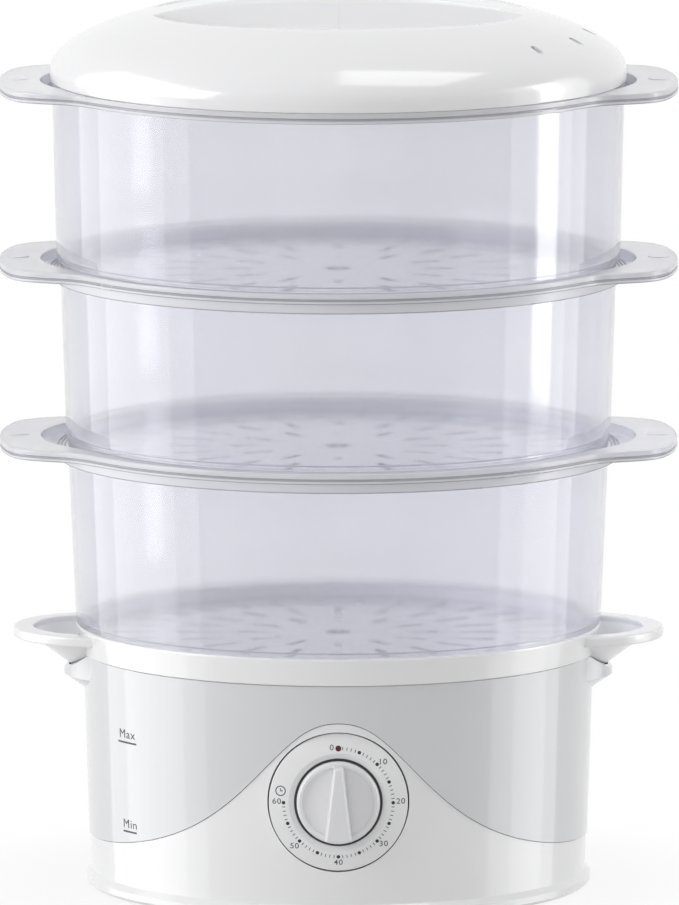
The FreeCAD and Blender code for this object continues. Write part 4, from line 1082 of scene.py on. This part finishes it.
# the studio is in metres
studio = {
    "worldLight": 0.47, "background": 1.0, "aim": (0.0, 0.0, 0.2),
    "lamps": {
        "keyLamp": {"place": (-2.55, -0.95, 1.3), "size": (1.7, 1.7), "power": 38},
        "topLamp": {"place": (0.5, 0.0, 2.3), "size": (1.2, 1.0), "power": 9.5},
        "rightLamp": {"place": (2.2, 0.1, 0.6), "size": (0.45, 1.6), "power": 12},
        # soft light that shiny surfaces don't show
        "frontFill": {"place": (-0.6, -2.8, 0.5), "size": (1.6, 1.4), "power": 6, "shown": False},
    },
    # tall panels that only shiny surfaces show, as upright bands down each side
    "panels": {
        "leftPanel": {"turn": -95.0, "away": 3.0, "width": 3.9, "span": (-1.6, 3.4), "glow": 1.15},
        "leftCore": {"turn": -93.0, "away": 2.9, "width": 2.0, "span": (-1.6, 3.3), "glow": 1.2},
        "rightPanel": {"turn": 95.5, "away": 3.0, "width": 2.5, "span": (-1.6, 2.1), "glow": 1.3},
        "rightCore": {"turn": 96.5, "away": 2.9, "width": 1.1, "span": (-1.6, 2.0), "glow": 1.1},
    },
    "floor": {
        "rings": (0.1, 0.2, 0.4, 0.8, 1.6, 4.0), "count": 96,
        "paper": {"Base Color": (0.7, 0.7, 0.7, 1), "Roughness": 0.9, "Specular IOR Level": 0.1},
        "fade": {"From Min": 0.1, "From Max": 0.22, "To Min": 0.88},
    },
    "camera": {"target": (0.0005, 0.0, 0.1921), "distance": 8.0, "elevation": 8.08,
               "height": 0.4005, "sensor": 36.0, "clip": (0.1, 60.0)},
}


def areaLight(name, size, power, place, direction):
    light = bpy.data.lights.new(name, "AREA")
    light.shape = "RECTANGLE"
    light.size, light.size_y = size
    light.energy = power
    thing = bpy.data.objects.new(name, light)
    thing.location = place
    thing.rotation_euler = direction.to_track_quat("-Z", "Y").to_euler()
    scene.collection.objects.link(thing)
    return thing


def addLamps():
    for name, lamp in studio["lamps"].items():
        aim = Vector(studio["aim"]) - Vector(lamp["place"])
        thing = areaLight(name, lamp["size"], lamp["power"], lamp["place"], aim)
        thing.visible_glossy = lamp.get("shown", True)


def addPanels():
    for name, panel in studio["panels"].items():
        width, (low, high) = panel["width"], panel["span"]
        turn = math.radians(panel["turn"])
        away = Vector((math.sin(turn), -math.cos(turn), 0.0))
        place = away * panel["away"] + Vector((0, 0, (high + low) / 2))
        power = panel["glow"] * math.pi * width * (high - low)
        thing = areaLight(name, (width, high - low), power, place, -away)
        thing.visible_camera = thing.visible_diffuse = thing.visible_transmission = False


def seenDirectly(nodes, links):
    # 1 for the camera and for what shiny and clear surfaces show
    ray = addNode(nodes, "LightPath").outputs
    shown = combine(nodes, links, "MAXIMUM", ray["Is Camera Ray"], ray["Is Glossy Ray"])
    return combine(nodes, links, "MAXIMUM", shown, ray["Is Transmission Ray"])


def addWorld():
    world = bpy.data.worlds.new("studioWorld")
    scene.world = world
    world.use_nodes = True
    nodes, links = world.node_tree.nodes, world.node_tree.links
    soft, shown = nodes["Background"], addNode(nodes, "Background")
    setInputs(soft, {"Strength": studio["worldLight"], "Color": (1, 1, 1, 1)})
    setInputs(shown, {"Strength": studio["background"], "Color": (1, 1, 1, 1)})
    both = blend(nodes, links, seenDirectly(nodes, links), soft.outputs[0], shown.outputs[0])
    links.new(both, nodes["World Output"].inputs["Surface"])


def floorPaper():
    # shadow shows near the object, and the floor runs out to plain white
    look = studio["floor"]
    material, nodes, links, shader = startMaterial("floorPaper")
    setInputs(shader, look["paper"])
    place, glow = addNode(nodes, "TexCoord"), addNode(nodes, "Emission")
    length = addNode(nodes, "VectorMath")
    length.operation = "LENGTH"
    fade = addNode(nodes, "MapRange", look["fade"])
    fade.interpolation_type = "SMOOTHSTEP"
    connect(links, (place.outputs["Object"], length.inputs[0]),
            (length.outputs["Value"], fade.inputs["Value"]))
    plain = combine(nodes, links, "MULTIPLY", fade.outputs["Result"], seenDirectly(nodes, links))
    lit = blend(nodes, links, plain, shader.outputs["BSDF"], glow.outputs[0])
    # shiny surfaces look past the floor to the panels, and it hides nothing from below
    ray, side = addNode(nodes, "LightPath").outputs, addNode(nodes, "NewGeometry").outputs
    unseen = combine(nodes, links, "MAXIMUM", ray["Is Glossy Ray"], side["Backfacing"])
    clear = addNode(nodes, "BsdfTransparent")
    whole = blend(nodes, links, unseen, lit, clear.outputs[0])
    links.new(whole, nodes["Material Output"].inputs["Surface"])
    return material


def addFloor():
    count = studio["floor"]["count"]
    verts, faces = [(0.0, 0.0, 0.0)], []
    for n, r in enumerate(studio["floor"]["rings"]):
        verts += [(x, y, 0.0) for x, y in ringPoints(r, count)]
        a, b = 1 + (n - 1) * count, 1 + n * count
        for i in range(count):
            k = (i + 1) % count
            faces.append((a + i, b + i, b + k, a + k) if n else (0, b + i, b + k))
    mesh = bpy.data.meshes.new("floor")
    mesh.from_pydata(verts, [], faces)
    mesh.materials.append(floorPaper())
    floor = bpy.data.objects.new("floor", mesh)
    scene.collection.objects.link(floor)


def addCamera():
    view = studio["camera"]
    lens = bpy.data.cameras.new("camera")
    lens.sensor_width = view["sensor"]
    lens.lens = view["sensor"] * view["distance"] / view["height"]
    lens.clip_start, lens.clip_end = view["clip"]
    camera = bpy.data.objects.new("camera", lens)
    lift = math.radians(view["elevation"])
    back = Vector((0.0, -math.cos(lift), math.sin(lift)))
    camera.location = Vector(view["target"]) + back * view["distance"]
    camera.rotation_euler = (-back).to_track_quat("-Z", "Y").to_euler()
    scene.collection.objects.link(camera)
    scene.camera = camera


addLamps()
addPanels()
addWorld()
addFloor()
addCamera()
scene.view_settings.view_transform = "Standard"
print("studio ready")
